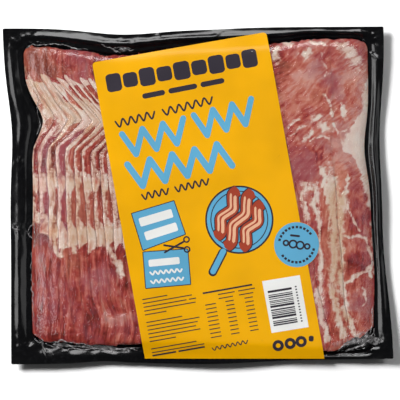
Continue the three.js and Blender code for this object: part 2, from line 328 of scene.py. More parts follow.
# Film creases: start, end, height and half width. Sharp folds in the flange, and pleats beside the bacon.
FLANGE_CREASES = [
    ((-35, 137), (-30, 124), 0.9, 1.3), ((22, 139), (11, 130), 0.7, 1.5),
    ((-153, 27), (-146, 29.5), 0.8, 1.2), ((-153.5, -24), (-147, -33), 0.8, 1.4),
    ((-151, -30), (-145, -25), 0.6, 1.1), ((151, 24), (158, 22), 0.7, 1.4),
    ((152, -46), (158, -50), 0.6, 1.4), ((-81, 126.5), (-66, 123), 0.8, 1.2),
    ((-66, 123), (-58, 118), 0.7, 1.2), ((-131, -121), (-122, -137), 1, 1.5),
    ((-127, -119), (-110, -124), 0.8, 1.1), ((-112, -125), (-84, -124.5), 0.8, 1.1),
    ((-84, -122), (-52, -127), 0.8, 1.2), ((121, -129), (146, -117), 1.4, 2),
    ((114, -122), (142, -111), 1.2, 1.6), ((146, -118), (153, -124), 1.2, 2),
    ((132, -130), (150, -127), 0.9, 1.4), ((143, 118), (152, 111), 0.8, 1.5),
    ((-143, -28), (-136, -22), 0.7, 0.9), ((-143, -28), (-134.5, -37), 0.7, 0.9),
]
BED_CREASES = [
    ((-77, -99), (-70, -104), 2, 2.2), ((-68, -103), (-57, -98), 2, 1.8),
    ((-76, -110), (-62, -108), 1.6, 1.6), ((-62, -96), (-52, -98), 0.9, 1.6),
    ((-126, -58), (-119, -61), 0.7, 1.3), ((140, -88), (146, -96), 1, 1.8),
    ((134, -72), (128, -80), 0.8, 1.4), ((92, 28), (86, 10), 0.5, 0.8), ((108, 92), (107, 70), 0.6, 0.9),
]
# Where the film is crumpled: middle, half length and half width, turn in degrees
CRUMPLED = [
    ((-92, -125.5), (44, 4.5), -2), ((150, -122), (6, 5), 14), ((-140, 127), (13, 6), 0),
    ((136, 129), (14, 6), 0), ((-139, -33), (5, 13), 0), ((-48, 126), (24, 5), -6),
]


def bed_creases():
    """The coarse wrinkles of the film over the bacon, and fine ones that run mostly along the slices."""
    draw = np.random.RandomState(5)
    made = list(BED_CREASES)
    for _ in range(70):
        x, y = draw.uniform(-136, 140), draw.uniform(-118, 122)
        run, turn = draw.uniform(5, 20), math.radians(draw.normal(90, 22))
        end = (x + run * math.cos(turn), y + run * math.sin(turn))
        made.append(((x, y), end, draw.uniform(0.15, 0.5), draw.uniform(0.6, 1.0)))
    return made


def crease_height(x, y, creases):
    """Height that a list of folds adds to a film."""
    total = np.zeros_like(x)
    for start, end, height, width in creases:
        t, off = off_line(x, y, start, end, 0.2)
        taper = band(t, -0.2, 0.15, 0.85, 1.2)
        total = np.maximum(total, height * taper * np.exp(-np.abs(off / width) ** 1.5))
    return total


def crinkles(x, y):
    """Sharp little folds where the film is crumpled."""
    total = np.max([spot(x, y, *place) for place in CRUMPLED], axis=0)
    sharp = 1 - np.abs(wander(x + 0.6 * y, y - 0.6 * x, 5.5, 71)) * 2
    small = 1 - np.abs(wander(x - 0.4 * y, y + 0.4 * x, 2.8, 72)) * 2
    return total * (0.45 * sharp + 0.22 * small)


def nearest_side(x, y):
    """For each point the nearest side's number, its place along that side and its distance from the edge."""
    rows = []
    for turn, side in enumerate(SIDES):
        first, last, along, inwards = side_of(SHEET, side)
        value, across = (x, y) if along == 0 else (y, x)
        t = np.clip((value - first[along]) / (last[along] - first[along]), 0, 1)
        rows.append((np.full_like(x, turn), t, inwards * (across - edge(SHEET, side, value))))
    rows = np.array(rows)
    nearest = rows[:, 2].argmin(axis=0)
    turn, t, distance = np.take_along_axis(rows, nearest[None, None], 0)[0]
    return turn, t, np.maximum(distance, 0)


def web_height(x, y):
    """Height of the backing film's top: waves on the flange, the pocket's wall and its floor."""
    turn, t, from_edge = nearest_side(x, y)
    inside = depth_in_bed(x, y) + GAP
    reach = from_edge / (from_edge + np.maximum(-inside, 0) + 1e-6)
    swelling = 0.75 + 0.35 * np.sin(9 * t + 2.1 * turn)
    ends = 1 - (2 * t - 1) ** 6
    along_bottom, along_top = turn == 0, turn == 2
    ridge = RIDGE["height"] * swelling * ends * bell(reach, RIDGE["at"] + 0.08 * along_top, RIDGE["width"])
    trough = bell(np.minimum(reach, GROOVE["at"]), GROOVE["at"], GROOVE["width"])
    groove = GROOVE["depth"] * (0.4 + 0.6 * ends) * (1 - 0.5 * along_bottom) * trough
    free = (1 - reach) ** 1.5
    ripple = RIPPLE * ends * free * np.sin(14 * t + 1.3 * turn)
    flange = FLANGE_Z + ridge * (1 - 0.7 * along_bottom) - groove + ripple + CORNER_LIFT * (1 - ends) * free
    flange += ramp(1 - reach, 0.02, 0.3) * (0.22 * wander(x, y, 9, 41) + 0.12 * wander(x, y, 4, 42))
    flange += (crease_height(x, y, FLANGE_CREASES) + crinkles(x, y)) * ramp(from_edge, 0, 2)
    wall = np.clip(inside / (FOOT_IN + SEAL_OUT), 0, 1)
    return mix(flange, 0, wall) + FILM


# The shingle of rashers

# Where the slices stop at the pack's lower right, under a loose fold of film: place across, place up
CORNER_CUT = [(100, -136), (109, -131), (118, -126), (126, -121.5), (134, -118), (142, -111), (150, -106)]


def rasher_edge(k, v):
    """Left edge of rasher k as a share of the bed's width, at height v of the pack."""
    if k >= RASHERS:
        return np.ones_like(v)
    if k >= REGULAR:
        line = mix(*WIDE[k - REGULAR], v)
    else:
        t = k / REGULAR
        line = t * (1 + SPREAD * (1 - t) ** 2) * mix(*REGULAR_END, v)
    if k == 0:
        return line
    loose = bpy.context.scene.pack_sizes.rasher_wander / MM / BED_WIDTH
    return line + loose * (wander(v * BED_TALL, k * 37.0, 15, 5) + 0.4 * wander(v * BED_TALL, k * 37.0, 5, 6))


def sway(share, v):
    """Sideways shift of the slices: the chevron of the fold, and the lean of their lower ends."""
    rise = np.clip((KINK["top"] - v) / (KINK["top"] - KINK["tip"]), 0, 1)
    fall = np.clip((v - KINK["foot"]) / (KINK["tip"] - KINK["foot"]), 0, 1)
    fold = np.where(v > KINK["tip"], rise, fall) * band(share, -0.04, 0.1, 0.25, 0.6)
    lower = np.maximum((LEAN["below"] - v) / LEAN["below"], 0) ** 1.5
    return KINK["reach"] * fold + LEAN["reach"] * lower * band(share, 0.05, 0.2, 0.93, 1)


def bed_place(share, v):
    """Place in plan on the bed, with the slices' sway."""
    x, y = patch(BED, share, v, -BED_OUT)
    return x + sway(share, v) * np.minimum(1, np.minimum(12 * v, 12 * (1 - v))), y


def bed_share(x, y):
    """The other way round: share across and height up the pack of a place in plan."""
    left, bottom = edge(BED, "left", y), edge(BED, "bottom", x)
    wide, tall = edge(BED, "right", y) - left, edge(BED, "top", x) - bottom
    share = np.clip((x - left) / wide, 0, 1)
    v = np.clip((y - bottom) / tall, 0, 1)
    for _ in range(8):
        px, py = bed_place(share, v)
        share = np.clip(share + 0.9 * (x - px) / wide, 0, 1)
        v = np.clip(v + 0.9 * (y - py) / tall, 0, 1)
    return share, v


def bed_height(share):
    """Height of the bed's skin at full depth."""
    rise = LEFT_RISE["drop"] * (1 - np.minimum(share / LEFT_RISE["share"], 1)) ** 2
    start = 1 - RIGHT_FALL["share"]
    return BED_TOP - rise - RIGHT_FALL["drop"] * np.maximum((share - start) / RIGHT_FALL["share"], 0) ** 2


def corner_cut(x):
    """Lowest place up the pack that meat reaches, for a place across it."""
    return np.interp(x, *zip(*CORNER_CUT)) + 0.8 * wander(x, 0, 4, 83)


def slice_ends(k):
    """How far rasher k stops short of the bed's bottom and top, as shares of its height."""
    draw = np.random.RandomState(300 + k)
    return draw.uniform(0.003, 0.011), 1 - draw.uniform(0.004, 0.014)


def flatness(k, v):
    """1 where rasher k's edge is thin and lies flat on the one before, 0 where it stands up."""
    narrow = np.maximum(1 - ramp(v, 0.27, 0.34), ramp(v, 0.84, 0.9))
    return np.where(k < REGULAR, 0.3 + 0.7 * narrow, 0.5 + 0.5 * ramp(v, 0.42, 0.6))


def edge_thickness(k, v, from_edge):
    """Thickness of rasher k near its edge, as a share of a slice's: round, or thin where it lies flat."""
    return mix(rounding(from_edge / CREST), ramp(from_edge, 0, SOFT_CREST), flatness(k, v))


def rise_to_next(k, v, held, exposed):
    """How far rasher k rises under the thin edge of the next one."""
    return LAP * flatness(k + 1, v) * band(held, 0.2 * exposed, exposed, exposed, exposed + SOFT_CREST)


def drop(t):
    """Steps a rasher has sunk, t exposed widths from its edge: slowly, then down to the next one's foot."""
    whole = np.floor(t)
    return whole + (t - whole) ** 1.5


def press(z, x, y):
    """Heights pulled down towards the seal by the film's shoulder, keeping their order."""
    low = FLANGE_Z + FILM
    squeezed = low + (z - low) * rounding(depth_in_bed(x, y) / SHOULDER)
    return np.where(z > low, squeezed, z)


def swell(x, y):
    """Slow unevenness of the bed."""
    return 0.35 * wander(x, y, 31, 7) + 0.18 * wander(x, y, 11, 8)


def meat_height(x, y):
    """Height of the rashers' top, with steps at their edges; low where no rasher reaches."""
    share, v = bed_share(x, y)
    edges = np.array([rasher_edge(k, v) for k in range(RASHERS + 1)])
    k = np.clip((edges[:-1] <= share).sum(axis=0) - 1, 0, RASHERS - 1)
    left = np.take_along_axis(edges, k[None], 0)[0]
    right = np.take_along_axis(edges, k[None] + 1, 0)[0]
    within = np.clip((share - left) / (right - left), 0, 1)
    from_edge = (share - left) * BED_WIDTH
    lower = STEP * drop(within) + SLICE / 2 * (1 - edge_thickness(k, v, from_edge))
    rise = rise_to_next(k, v, from_edge, (right - left) * BED_WIDTH)
    z = bed_height(share) - lower + rise + swell(x, y)
    ends = np.array([slice_ends(n) for n in range(RASHERS)])
    covered = (v > ends[k, 0]) & (v < ends[k, 1]) & (depth_in_bed(x, y) > 0.4)
    return np.where(covered, press(z, x, y), FLANGE_Z - 1.5)


class Heights:
    """Heights on a regular grid in plan, read anywhere between."""

    xs = np.arange(-168, 168.1, FIELD_STEP)
    ys = np.arange(-146, 146.1, FIELD_STEP)
    x, y = np.meshgrid(xs, ys)

    def __init__(self, z):
        self.z = z

    def at(self, x, y):
        u = np.clip((x - self.xs[0]) / FIELD_STEP, 0, len(self.xs) - 1.001)
        v = np.clip((y - self.ys[0]) / FIELD_STEP, 0, len(self.ys) - 1.001)
        i, j = u.astype(int), v.astype(int)
        fu, fv = u - i, v - j
        near = mix(self.z[j, i], self.z[j, i + 1], fu)
        return mix(near, mix(self.z[j + 1, i], self.z[j + 1, i + 1], fu), fv)


def stretch_over(floor, start, pull, rounds):
    """A skin stretched over a floor: level between high points, drawn down between them by pull."""
    z = start.copy()
    for _ in range(rounds):
        middle = (z[:-2, 1:-1] + z[2:, 1:-1] + z[1:-1, :-2] + z[1:-1, 2:]) / 4
        z[1:-1, 1:-1] = np.maximum(floor[1:-1, 1:-1], middle - pull[1:-1, 1:-1])
    return z


def draped(z, reach, even):
    """Heights of a stiff sheet over a surface: its highest points within reach cells, then evened out."""
    for cells, gather in ((reach, np.max), (even, np.mean)):
        for axis in (0, 1):
            z = gather([np.roll(z, shift, axis) for shift in range(-cells, cells + 1)], axis=0)
    return z


@functools.lru_cache(maxsize=None)
def surfaces():
    """The heights that the pieces share: backing film, clear film and label."""
    x, y = Heights.x, Heights.y
    web = web_height(x, y)
    depth = depth_in_bed(x, y)
    floor = np.maximum(meat_height(x, y) + CLING, web + 0.03)
    high = np.where(depth > -SEAL_OUT, BED_TOP + 1.0, floor)
    smooth = stretch_over(floor, high, 0.06 + 0.3 * (1 - ramp(depth, 1, 7)), 260)
    folds = np.maximum(wander(x + y * 0.3, y - x * 0.3, 3.2, 51), 0) * np.maximum(wander(x, y, 13, 52) + 0.2, 0)
    pleats = crease_height(x, y, FLANGE_CREASES) + crease_height(x, y, bed_creases())
    fine = 0.05 * wander(x, y, 2.4, 53) + 0.05 * wander(x, y, 5.5, 54)
    wrinkles = ramp(depth, -1.5, 1.0) * (pleats * 0.6 + np.maximum(fine, 0))
    film = smooth + 1.1 * band(depth, -2.0, 0.5, 4, 11) * folds + wrinkles
    label = draped(smooth, LABEL_REACH, LABEL_EVEN) + LABEL_OFF
    return {"web": Heights(web), "film": Heights(film), "label": Heights(label)}


# Meshes


def choose(*chosen):
    """Makes these objects the selected ones, and the first of them the active one."""
    if bpy.context.object and bpy.context.object.mode != "OBJECT":
        bpy.ops.object.mode_set(mode="OBJECT")
    bpy.ops.object.select_all(action="DESELECT")
    for obj in chosen:
        obj.select_set(True)
    if chosen:
        bpy.context.view_layer.objects.active = chosen[0]


def shaped_grid(name, columns, rows, shape):
    """A primitive grid whose points are moved to shape(column, row), both counted from 0, in millimetres."""
    choose()
    bpy.ops.mesh.primitive_grid_add(x_subdivisions=columns - 1, y_subdivisions=rows - 1, size=2)
    obj = bpy.context.object
    obj.name = obj.data.name = name
    flat = np.empty(len(obj.data.vertices) * 3)
    obj.data.vertices.foreach_get("co", flat)
    flat = flat.reshape(-1, 3)
    column = np.rint((flat[:, 0] + 1) / 2 * (columns - 1)).astype(int)
    row = np.rint((flat[:, 1] + 1) / 2 * (rows - 1)).astype(int)
    made = np.stack(np.broadcast_arrays(*shape(column, row)), axis=1) * MM
    obj.data.vertices.foreach_set("co", made.ravel())
    obj.data.update()
    return obj, column, row


def thicken(obj, thickness, offset=1.0):
    """Gives a sheet its thickness, upwards unless offset is negative."""
    choose(obj)
    modifier = obj.modifiers.new("Solidify", "SOLIDIFY")
    modifier.thickness = thickness
    modifier.offset = offset
    bpy.ops.object.modifier_apply(modifier=modifier.name)


def face_up(obj):
    """Turns over the faces of a flat piece that look down."""
    choose(obj)
    bpy.ops.object.mode_set(mode="EDIT")
    bpy.ops.mesh.select_mode(type="FACE")
    bpy.ops.object.mode_set(mode="OBJECT")
    for face in obj.data.polygons:
        face.select = face.normal.z < 0
    bpy.ops.object.mode_set(mode="EDIT")
    bpy.ops.mesh.flip_normals()
    bpy.ops.object.mode_set(mode="OBJECT")


def join_pieces(made, name):
    """Joins a list of meshes to one piece."""
    choose(*made)
    bpy.ops.object.join()
    obj = bpy.context.object
    obj.name = obj.data.name = name
    return obj


def finish_piece(obj, material, slot, *replaced):
    """Shades a finished piece, gives it its finish and ties it to the frame."""
    choose(obj)
    bpy.ops.object.shade_smooth_by_angle(angle=math.radians(50))
    obj.data.materials.clear()
    obj.data.materials.append(material)
    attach(obj, BODY)
    if replaced:
        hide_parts(*replaced)
    if not len(obj.data.polygons):
        raise RuntimeError(f"{obj.name} has no faces")


def spaced(total, border, fine, coarse):
    """Places from 0 to total, closer together within a border at either end, as shares of it."""
    edge_steps = np.linspace(0, border, int(border / fine) + 1)
    middle = np.linspace(border, total - border, int((total - 2 * border) / coarse) + 1)[1:-1]
    return np.concatenate([edge_steps, middle, total - edge_steps[::-1]]) / total


def store(obj, name, *values):
    """Keeps three numbers for each point of a mesh, or one three times, for its material to read."""
    columns = values if len(values) == 3 else values * 3
    attribute = obj.data.attributes.new(name, "FLOAT_VECTOR", "POINT")
    attribute.data.foreach_set("vector", np.stack(columns, axis=1).astype(np.float32).ravel())


# Lean and fat

# Share of each narrow strip that is fat: height on the pack, at the pack's left, and further right
EDGE_FAT = [
    (140, -0.5, -0.5), (97, -0.5, -0.5), (93, 1.5, 0.95), (88.5, 1.5, 0.95), (86, 1.5, 0.35),
    (76, 1.5, 0.35), (72, 1.5, 1.4), (58, 1.5, 1.4), (54, 0.9, 0.6), (48, 0.42, 0.38), (20, 0.42, 0.38),
    (16, 0.98, 1), (6, 0.92, 0.96), (1, 0.5, 0.46), (-20, 0.5, 0.42), (-26, 1.2, 0.75), (-31, 1.5, 1.3),
    (-38, 1.5, 1.4), (-43, 0.5, 0.45), (-50, -0.5, -0.5), (-140, -0.5, -0.5),
]
# Width of the fat along the pack's right edge: height on the pack, width
RIM_FAT = [
    (140, -2), (104, -2), (98, 1.5), (80, 3.2), (68, 3.5), (63, 9), (57, 14), (44, 16.5), (35, 16.5),
    (31, 12), (25, 6.5), (19, 4.2), (8, 3.4), (3, 4.6), (-3, 2.5), (-12, 0), (-140, -2),
]
# Patches of fat, and of lean in the fat: middle, half length and half width, turn in degrees
LEFT_SPOTS = [((-67, 121), (13, 2.6), -14)]
LEFT_HOLES = [((-121, 60), (6, 3.8), 12), ((-132, 112), (7, 14), 0), ((-131, 74), (2, 5), 20)]
RIGHT_SPOTS = [
    ((65.5, 118), (3.2, 8.5), 0), ((75, 126.3), (5.6, 2.6), 0), ((88.4, 116.8), (4.8, 3.9), 10),
    ((98, 125.5), (9, 1.8), 4), ((126.7, 115.5), (5.5, 11.5), 28), ((119, 123), (8, 3), -10),
    ((120.6, 70), (3, 6.6), 8), ((103.5, 57.5), (4.6, 4.2), -30), ((98, 64), (5, 3.6), 30),
    ((111, 4), (4.6, 19), 5), ((118, -8), (6.5, 10), 8), ((94.4, 6.2), (4.6, 3.4), 0),
]
# Seams of fat: their course and about how wide they are
RIGHT_SEAMS = [
    ([(74, 57.5), (80, 62), (86, 63.5)], 1.6), ([(76, 50.5), (84, 56), (90, 57.5)], 1.5),
    ([(86.1, 46.6), (93.6, 52.4)], 2.4), ([(92, 46), (101, 49), (108.5, 46.6)], 1.6),
    ([(118, 52), (124, 56)], 1), ([(86.1, 9), (86.6, -2), (89, -17)], 3.6),
    ([(97.5, 9), (96.6, -8), (99.5, -19)], 3.8), ([(100.2, -18), (99.6, -34), (100.6, -49.3)], 2.2),
    ([(110.5, -8), (112.4, -45), (111.8, -62)], 5),
    ([(111.8, -58), (110.8, -74.9), (113.3, -92), (120, -116)], 4.2),
    ([(117.8, -10), (118.4, -45), (119, -74.9), (121.4, -92), (130.5, -114)], 4),
    ([(124, 16), (121, 2), (119, -12)], 3), ([(103, 22), (106, 10), (108, -6)], 3.6),
    ([(112, 60), (116, 50), (122, 42)], 1.2),
    ([(100.2, -45.1), (101.4, -62), (99.6, -82.4), (102.3, -103.9), (108, -120)], 3.6),
    ([(123, -10), (130, -20), (134.1, -31)], 1.2),
    ([(120.9, -33.5), (130, -34.4), (138.3, -36.8), (142.5, -48), (143.4, -66)], 1.9),
    ([(119, -74), (127, -68), (134.1, -64), (142.4, -59)], 1.8),
    ([(136, -76), (138.5, -86), (134, -92)], 1.3), ([(111, 66), (108.5, 77), (104, 85)], 1.5),
    ([(104, 98), (104.8, 110), (101, 119)], 1.4),
]
LEFT_SEAMS = [
    ([(-76, -38), (-70, -50), (-62, -66)], 4), ([(-113, -30), (-112, -50)], 2.6),
    ([(-104.5, -36), (-101.5, -45)], 3), ([(-141, 106), (-139, 96), (-137, 86)], 3.4),
    ([(-119, -36), (-117, -47), (-112, -52)], 3),
]
# Drifts of the meat's colour, and a few patches of painted highlight and sheen where the film glints: middle,
# size, turn, how much paler, how much browner (or more purple if below 0)
DRIFTS_AND_SHEEN = [
    ((-127, 103), (12, 7), 0, -0.9, 1.3), ((-135, 116), (11, 10), 0, -1, 2.4),
    ((-101, 117), (17, 8), 0, 0.3, -0.8), ((-112, 100), (26, 9), 0, 0.1, -0.2),
    # The patch at (-93, 103) is a painted lilac highlight of the film
    ((-93, 103), (3, 9), 0, 1, -1), ((-104, 90), (9, 8), 30, 0.3, -0.7), ((-121, 60), (8, 6), 0, 0.3, 1),
    ((-127, -34), (12, 10), 0, -0.5, 1), ((-104, -52), (9, 15), 0, 0.3, 0.9),
    # The patch at (-84, -69) is a painted sheen of the film
    ((-84, -69), (9, 9), 0, 0.9, -0.8), ((-92.5, -112), (2.5, 12), 4, -0.9, -0.5),
    ((-84.5, -97), (3, 16), 4, -0.6, -0.5), ((-76, -78), (16, 12), 0, 1.1, -0.6),
    ((-112, -84), (14, 26), 0, 0.3, -0.35), ((-66, -91), (11, 7), 0, -0.4, 0.4),
    # The patch at (-66, -102) is a painted highlight where the film glints
    ((-66, -102), (13, 5), -8, 1.9, -0.8), ((-122, -80), (10, 22), 0, -0.1, -0.5),
    ((-100, 28), (40, 14), 0, 0.15, -0.2), ((-98, -12), (34, 10), 0, 0.3, 0.2),
    ((88, 96), (16, 7), 40, 1, 0.4), ((88, 78), (12, 5), 40, 0.5, 0.6), ((70, 100), (6, 14), 0, -0.8, 0.5),
    ((96, 104), (9, 6), 30, 0.4, -0.8), ((82, 72), (7, 6), 0, -0.5, -0.1),
    ((107, 112), (6, 8), 0, -0.6, 0.2), ((126, 86), (5, 6), 0, -0.5, 0.3),
    # The patch at (92, 20) is a painted sheen of the film
    ((118, 60), (6, 7), 0, -0.5, -0.2), ((92, 20), (5, 6), 0, 0.5, -1), ((101, 82), (7, 5), 30, -0.6, 1),
    ((75, 107), (8, 5), 20, -0.6, 0.9), ((110, 94), (7, 8), 0, 0.4, -0.9),
    ((114, 80), (7, 6), 0, 0.3, -0.8), ((127, 94), (8, 12), 0, 0.7, 0.2), ((112, 62), (9, 6), 30, 0.8, 0.2),
    ((98, 34), (1.1, 7), 2, -1.3, -0.2), ((102.6, 35), (1, 9), -2, -1.5, -0.2),
    # The patch at (82, 24) is a painted sheen of the film
    ((104, 34), (22, 10), 0, -0.3, -0.3), ((82, 24), (12, 13), 0, 0.3, -0.8),
    ((129, 8), (8, 16), 0, -0.3, 0), ((131, -56), (9, 7), 0, -1.2, -0.3),
    ((128, -42), (9, 6), 20, 0.6, 0.2), ((132, -20), (8, 12), 0, -0.7, -0.3),
    ((124, -82), (5, 9), 0, 0, -0.1), ((128, -86), (10, 7), 0, 0.5, -1.1),
    ((103, -96), (4, 12), 0, 0.4, -0.9), ((128, 42), (16, 20), 0, 1.6, 0), ((134, 75), (5, 24), 0, 0.9, 0),
    ((122, -80), (22, 40), 0, -0.1, 0.1), ((114, -20), (8, 44), 0, 0.3, 1.7),
    ((117, -90), (14, 26), 0, -0.2, 0.9), ((-72, -30), (30, 5), 0, 0.7, 0.4),
    ((-116, 72), (26, 20), 0, 0.7, 0.3), ((-124, 76), (8, 11), 20, 0.2, 0.6),
    # The patch at (135, -93) is a painted highlight of the film
    ((-134, 94), (4, 9), 0, 0.5, 1), ((135, -93), (11, 6), 0, 1, -0.8),
    ((106, -95), (6, 22), 0, -0.1, -0.5), ((116, -40), (12, 60), 0, 0.1, 0.5),
]


def face_fat(y, wx, wy):
    """Fat along the rim of the wide faces."""
    heights, widths = np.array(RIM_FAT)[::-1].T
    to_rim = edge(BED, "right", y) - wx
    return np.clip(0.5 + (np.interp(wy, heights, widths) - to_rim) / FADE, 0.08, 1)


def strip_fat(x, y, wy, k, from_edge, exposed, shift):
    """Fat along the edge of narrow strip k, which sits a little higher or lower than in its neighbours."""
    heights, left, right = np.array(EDGE_FAT)[::-1].T
    row = wy + shift - 20 * ramp(-x, 108, 140) * ramp(-y, 5, 22)
    amount = mix(np.interp(row, heights, left), np.interp(row, heights, right), ramp(x, -119, -104))
    amount = amount + 0.2 * wander(wy, k * 53.0, 16, 65) + 0.14 * wander(wy, k * 29.0, 6, 69)
    mingled = band(y, 8, 16, 52, 60) + band(y, -34, -24, 2, 8)
    return np.clip(0.5 + (amount * exposed - from_edge) / FADE, 0.14 * mingled, 1 - 0.42 * mingled)


def lean_and_fat(x, y, k, from_edge, exposed):
    """Fat (1) or lean (0), how pale and how brown the meat is, at points of rasher k."""
    wx = x + 1.8 * wander(x, y, 8, 61) + 1.1 * wander(x, y, 3.3, 62)
    wy = y + 2.0 * wander(x, y, 8, 63) + 1.3 * wander(x, y, 3.3, 64)
    draw = np.random.RandomState(900 + k)
    broad = k >= REGULAR - 1
    if broad:
        fat = face_fat(y, wx, wy)
    else:
        fat = strip_fat(x, y, wy, k, from_edge, exposed, draw.uniform(-4.0, 4.0))
    for place in RIGHT_SPOTS if broad else LEFT_SPOTS:
        fat = np.maximum(fat, 0.4 * spot(wx, wy, *place) + 0.6 * soft_spot(wx, wy, *place))
    upper = ramp(y, 34, 46)
    if broad:
        fat = fat * mix(0.85, 0.8, upper * (1 - ramp(wx, 126, 132)))
    for path, width in RIGHT_SEAMS if broad else LEFT_SEAMS:
        fat = np.maximum(fat, (0.8 - 0.1 * upper) * seam(wx, wy, path, 1.5 * width))
    for place in () if broad else LEFT_HOLES:
        fat = fat * (1 - 0.8 * soft_spot(wx, wy, *place))
    to_right = ramp(x, 60, 75)
    striped = band(y, -45, -38, 60, 75) * (1 - to_right)
    paler = draw.uniform(-0.5, 0.4) * (0.3 + 0.7 * striped) + 0.35 * wander(x, y, 24, 67)
    paler = paler + mix(0.85, 1.2, ramp(y, 0, 30)) * to_right
    browner = draw.uniform(-1.1, 1.1) * striped + 0.3 * wander(x, y, 19, 66)
    browner = browner - 0.35 * to_right + 0.25 * band(y, 50, 75, 90, 100)
    for middle, size, turn, more_pale, more_brown in DRIFTS_AND_SHEEN:
        share = spot(wx, wy, middle, size, turn)
        paler = paler + more_pale * share
        browner = browner + more_brown * share
    return fat, paler, browner


def grain_and_crevice_shade(x, y, k, held, share, exposed):
    """Place across and along the fibres of rasher k, and painted shade under the next one's edge and down the
    folded strips.
    """
    # Painted shade in the recess under the next rasher's edge
    crevice_shade = ramp(held, exposed - 1.3, exposed - 0.3) if k < RASHERS - 1 else np.zeros_like(x)
    if k >= REGULAR - 1:
        turn = np.radians(mix(84, 40, ramp(y, -15, 30)))
        dx, dy = x - 110 + 3 * wander(x, y, 19, 78), y - 6 + 3 * wander(x, y, 19, 79)
        across = dy * np.cos(turn) - dx * np.sin(turn)
        along = 1.8 * (dx * np.cos(turn) + dy * np.sin(turn))
        return across, along, crevice_shade * (1 - 0.85 * ramp(y, 0, 30))
    crevice_shade = crevice_shade * (1 - 0.6 * np.maximum(ramp(-y, 38, 46), ramp(y, 88, 96)))
    # Painted shade: thin dark lines down the middle of the strips where they fold into a chevron
    thin = bell(held, 0.5 * exposed + 1.2 * wander(y, k * 17.0, 14, 85), 0.7)
    broken = np.clip(0.5 + 1.2 * wander(y, k * 23.0, 9, 86), 0, 1)
    crevice_shade = np.maximum(crevice_shade, 1.2 * thin * broken * band(y, 52, 60, 90, 96))
    return share * BED_WIDTH + 2.0 * wander(x, y, 17, 77), y, crevice_shade


def across_rasher(broad):
    """Places across a rasher from its edge, close together where its edge is round."""
    near = [0, 0.12, 0.4, 0.8, 1.3, 2.0, *np.arange(2.8, 8.5, 0.8), 9.4]
    if broad:
        return np.array([*near, *np.arange(10.4, 84.0, 1.1), 84.6, 85.0])
    return np.array([*near, 11.0, 14.0, 20.0, 28.0, 36.0, 42.0, 44.6, 45.6, 46.0])


def make_rasher(k, material):
    """One rasher: a thin strip with rounded edges, tilted so that its left edge rides on the one before."""
    first, last = slice_ends(k)
    v_rows = np.concatenate([[first], np.linspace(first + 0.002, last - 0.002, RASHER_ROWS - 2), [last]])
    across = across_rasher(k >= REGULAR - 1)
    count = len(across)

    def facts(column, row):
        v = v_rows[row]
        s = across[np.where(column < count, column, 2 * count - 1 - column)]
        left, following = rasher_edge(k, v), rasher_edge(k + 1, v)
        to_rim = (1 - left) * (BED_WIDTH - 2)
        held = np.minimum(s, np.maximum(to_rim - 1.2 + 0.02 * s, 0.02 * s))
        share = left + held / BED_WIDTH
        x, y = bed_place(share, v)
        jag = 1.3 + 1.3 * wander(x, k * 9.0, 7, 81) + 1.1 * wander(x, k * 9.0, 2.6, 82)
        y = y + jag * (1 - ramp(v, 0, 0.05)) - jag * ramp(v, 0.95, 1)
        return x, np.maximum(y, corner_cut(x)), s, held, share, (following - left) * BED_WIDTH

    def strip(column, row):
        x, y, s, held, share, exposed = facts(column, row)
        v = v_rows[row]
        line = bed_height(share) - STEP * drop(np.minimum(held / exposed, 6)) + swell(x, y)
        line = line + rise_to_next(k, v, held, exposed)
        closed = np.where((row == 0) | (row == RASHER_ROWS - 1), 0.0, 1.0)
        half = SLICE / 2 * edge_thickness(k, v, held) * rounding((across[-1] - s) / CREST) * closed
        top = column < count
        floor = FILM + 0.3 + 0.04 * k
        lowest = np.where(top, floor + SLICE * closed, floor)
        z = np.maximum(line - SLICE / 2 + np.where(top, half, -half), lowest)
        return x, y, press(z, x, y)

    obj, column, row = shaped_grid(f"rasher_{k + 1:02d}", 2 * count, RASHER_ROWS, strip)
    x, y, _, held, share, exposed = facts(column, row)
    store(obj, "meat", *lean_and_fat(x, y, k, held, exposed))
    store(obj, "grain", *grain_and_crevice_shade(x, y, k, held, share, exposed))
    choose(obj)
    bpy.ops.object.mode_set(mode="EDIT")
    bpy.ops.mesh.select_all(action="SELECT")
    bpy.ops.mesh.remove_doubles(threshold=0.004 * MM)
    bpy.ops.object.mode_set(mode="OBJECT")
    finish_piece(obj, material, "filmed_bacon", "bacon_in_clear_film")


# Materials


def add_node(tree, kind, inputs=None, out=0, **settings):
    """Adds one node, sets it up, joins or sets its inputs, and gives one of its outputs."""
    node = tree.nodes.new("ShaderNode" + kind)
    for name, value in settings.items():
        setattr(node, name, value)
    for key, value in (inputs or {}).items():
        if isinstance(value, bpy.types.NodeSocket):
            tree.links.new(value, node.inputs[key])
        else:
            node.inputs[key].default_value = value
    return node.outputs[out] if node.outputs else None


def new_material(name):
    """A material, what adds nodes to its empty tree, and the place on the object as an output."""
    material = bpy.data.materials.new(name)
    material.use_nodes = True
    material.node_tree.nodes.clear()
    add = functools.partial(add_node, material.node_tree)
    return material, add, add("TexCoord", out="Object")


def per_mm(size):
    """Noise scale that makes hills of about this many millimetres, for coordinates in metres."""
    return 1000 / size


def varied(add, value, noises):
    """A value varied by noises, each taken about its middle and times its share."""
    for noise, share in noises:
        centred = add("Math", {0: noise, 1: share, 2: -share / 2}, operation="MULTIPLY_ADD")
        value = add("Math", {0: value, 1: centred}, operation="ADD")
    return value


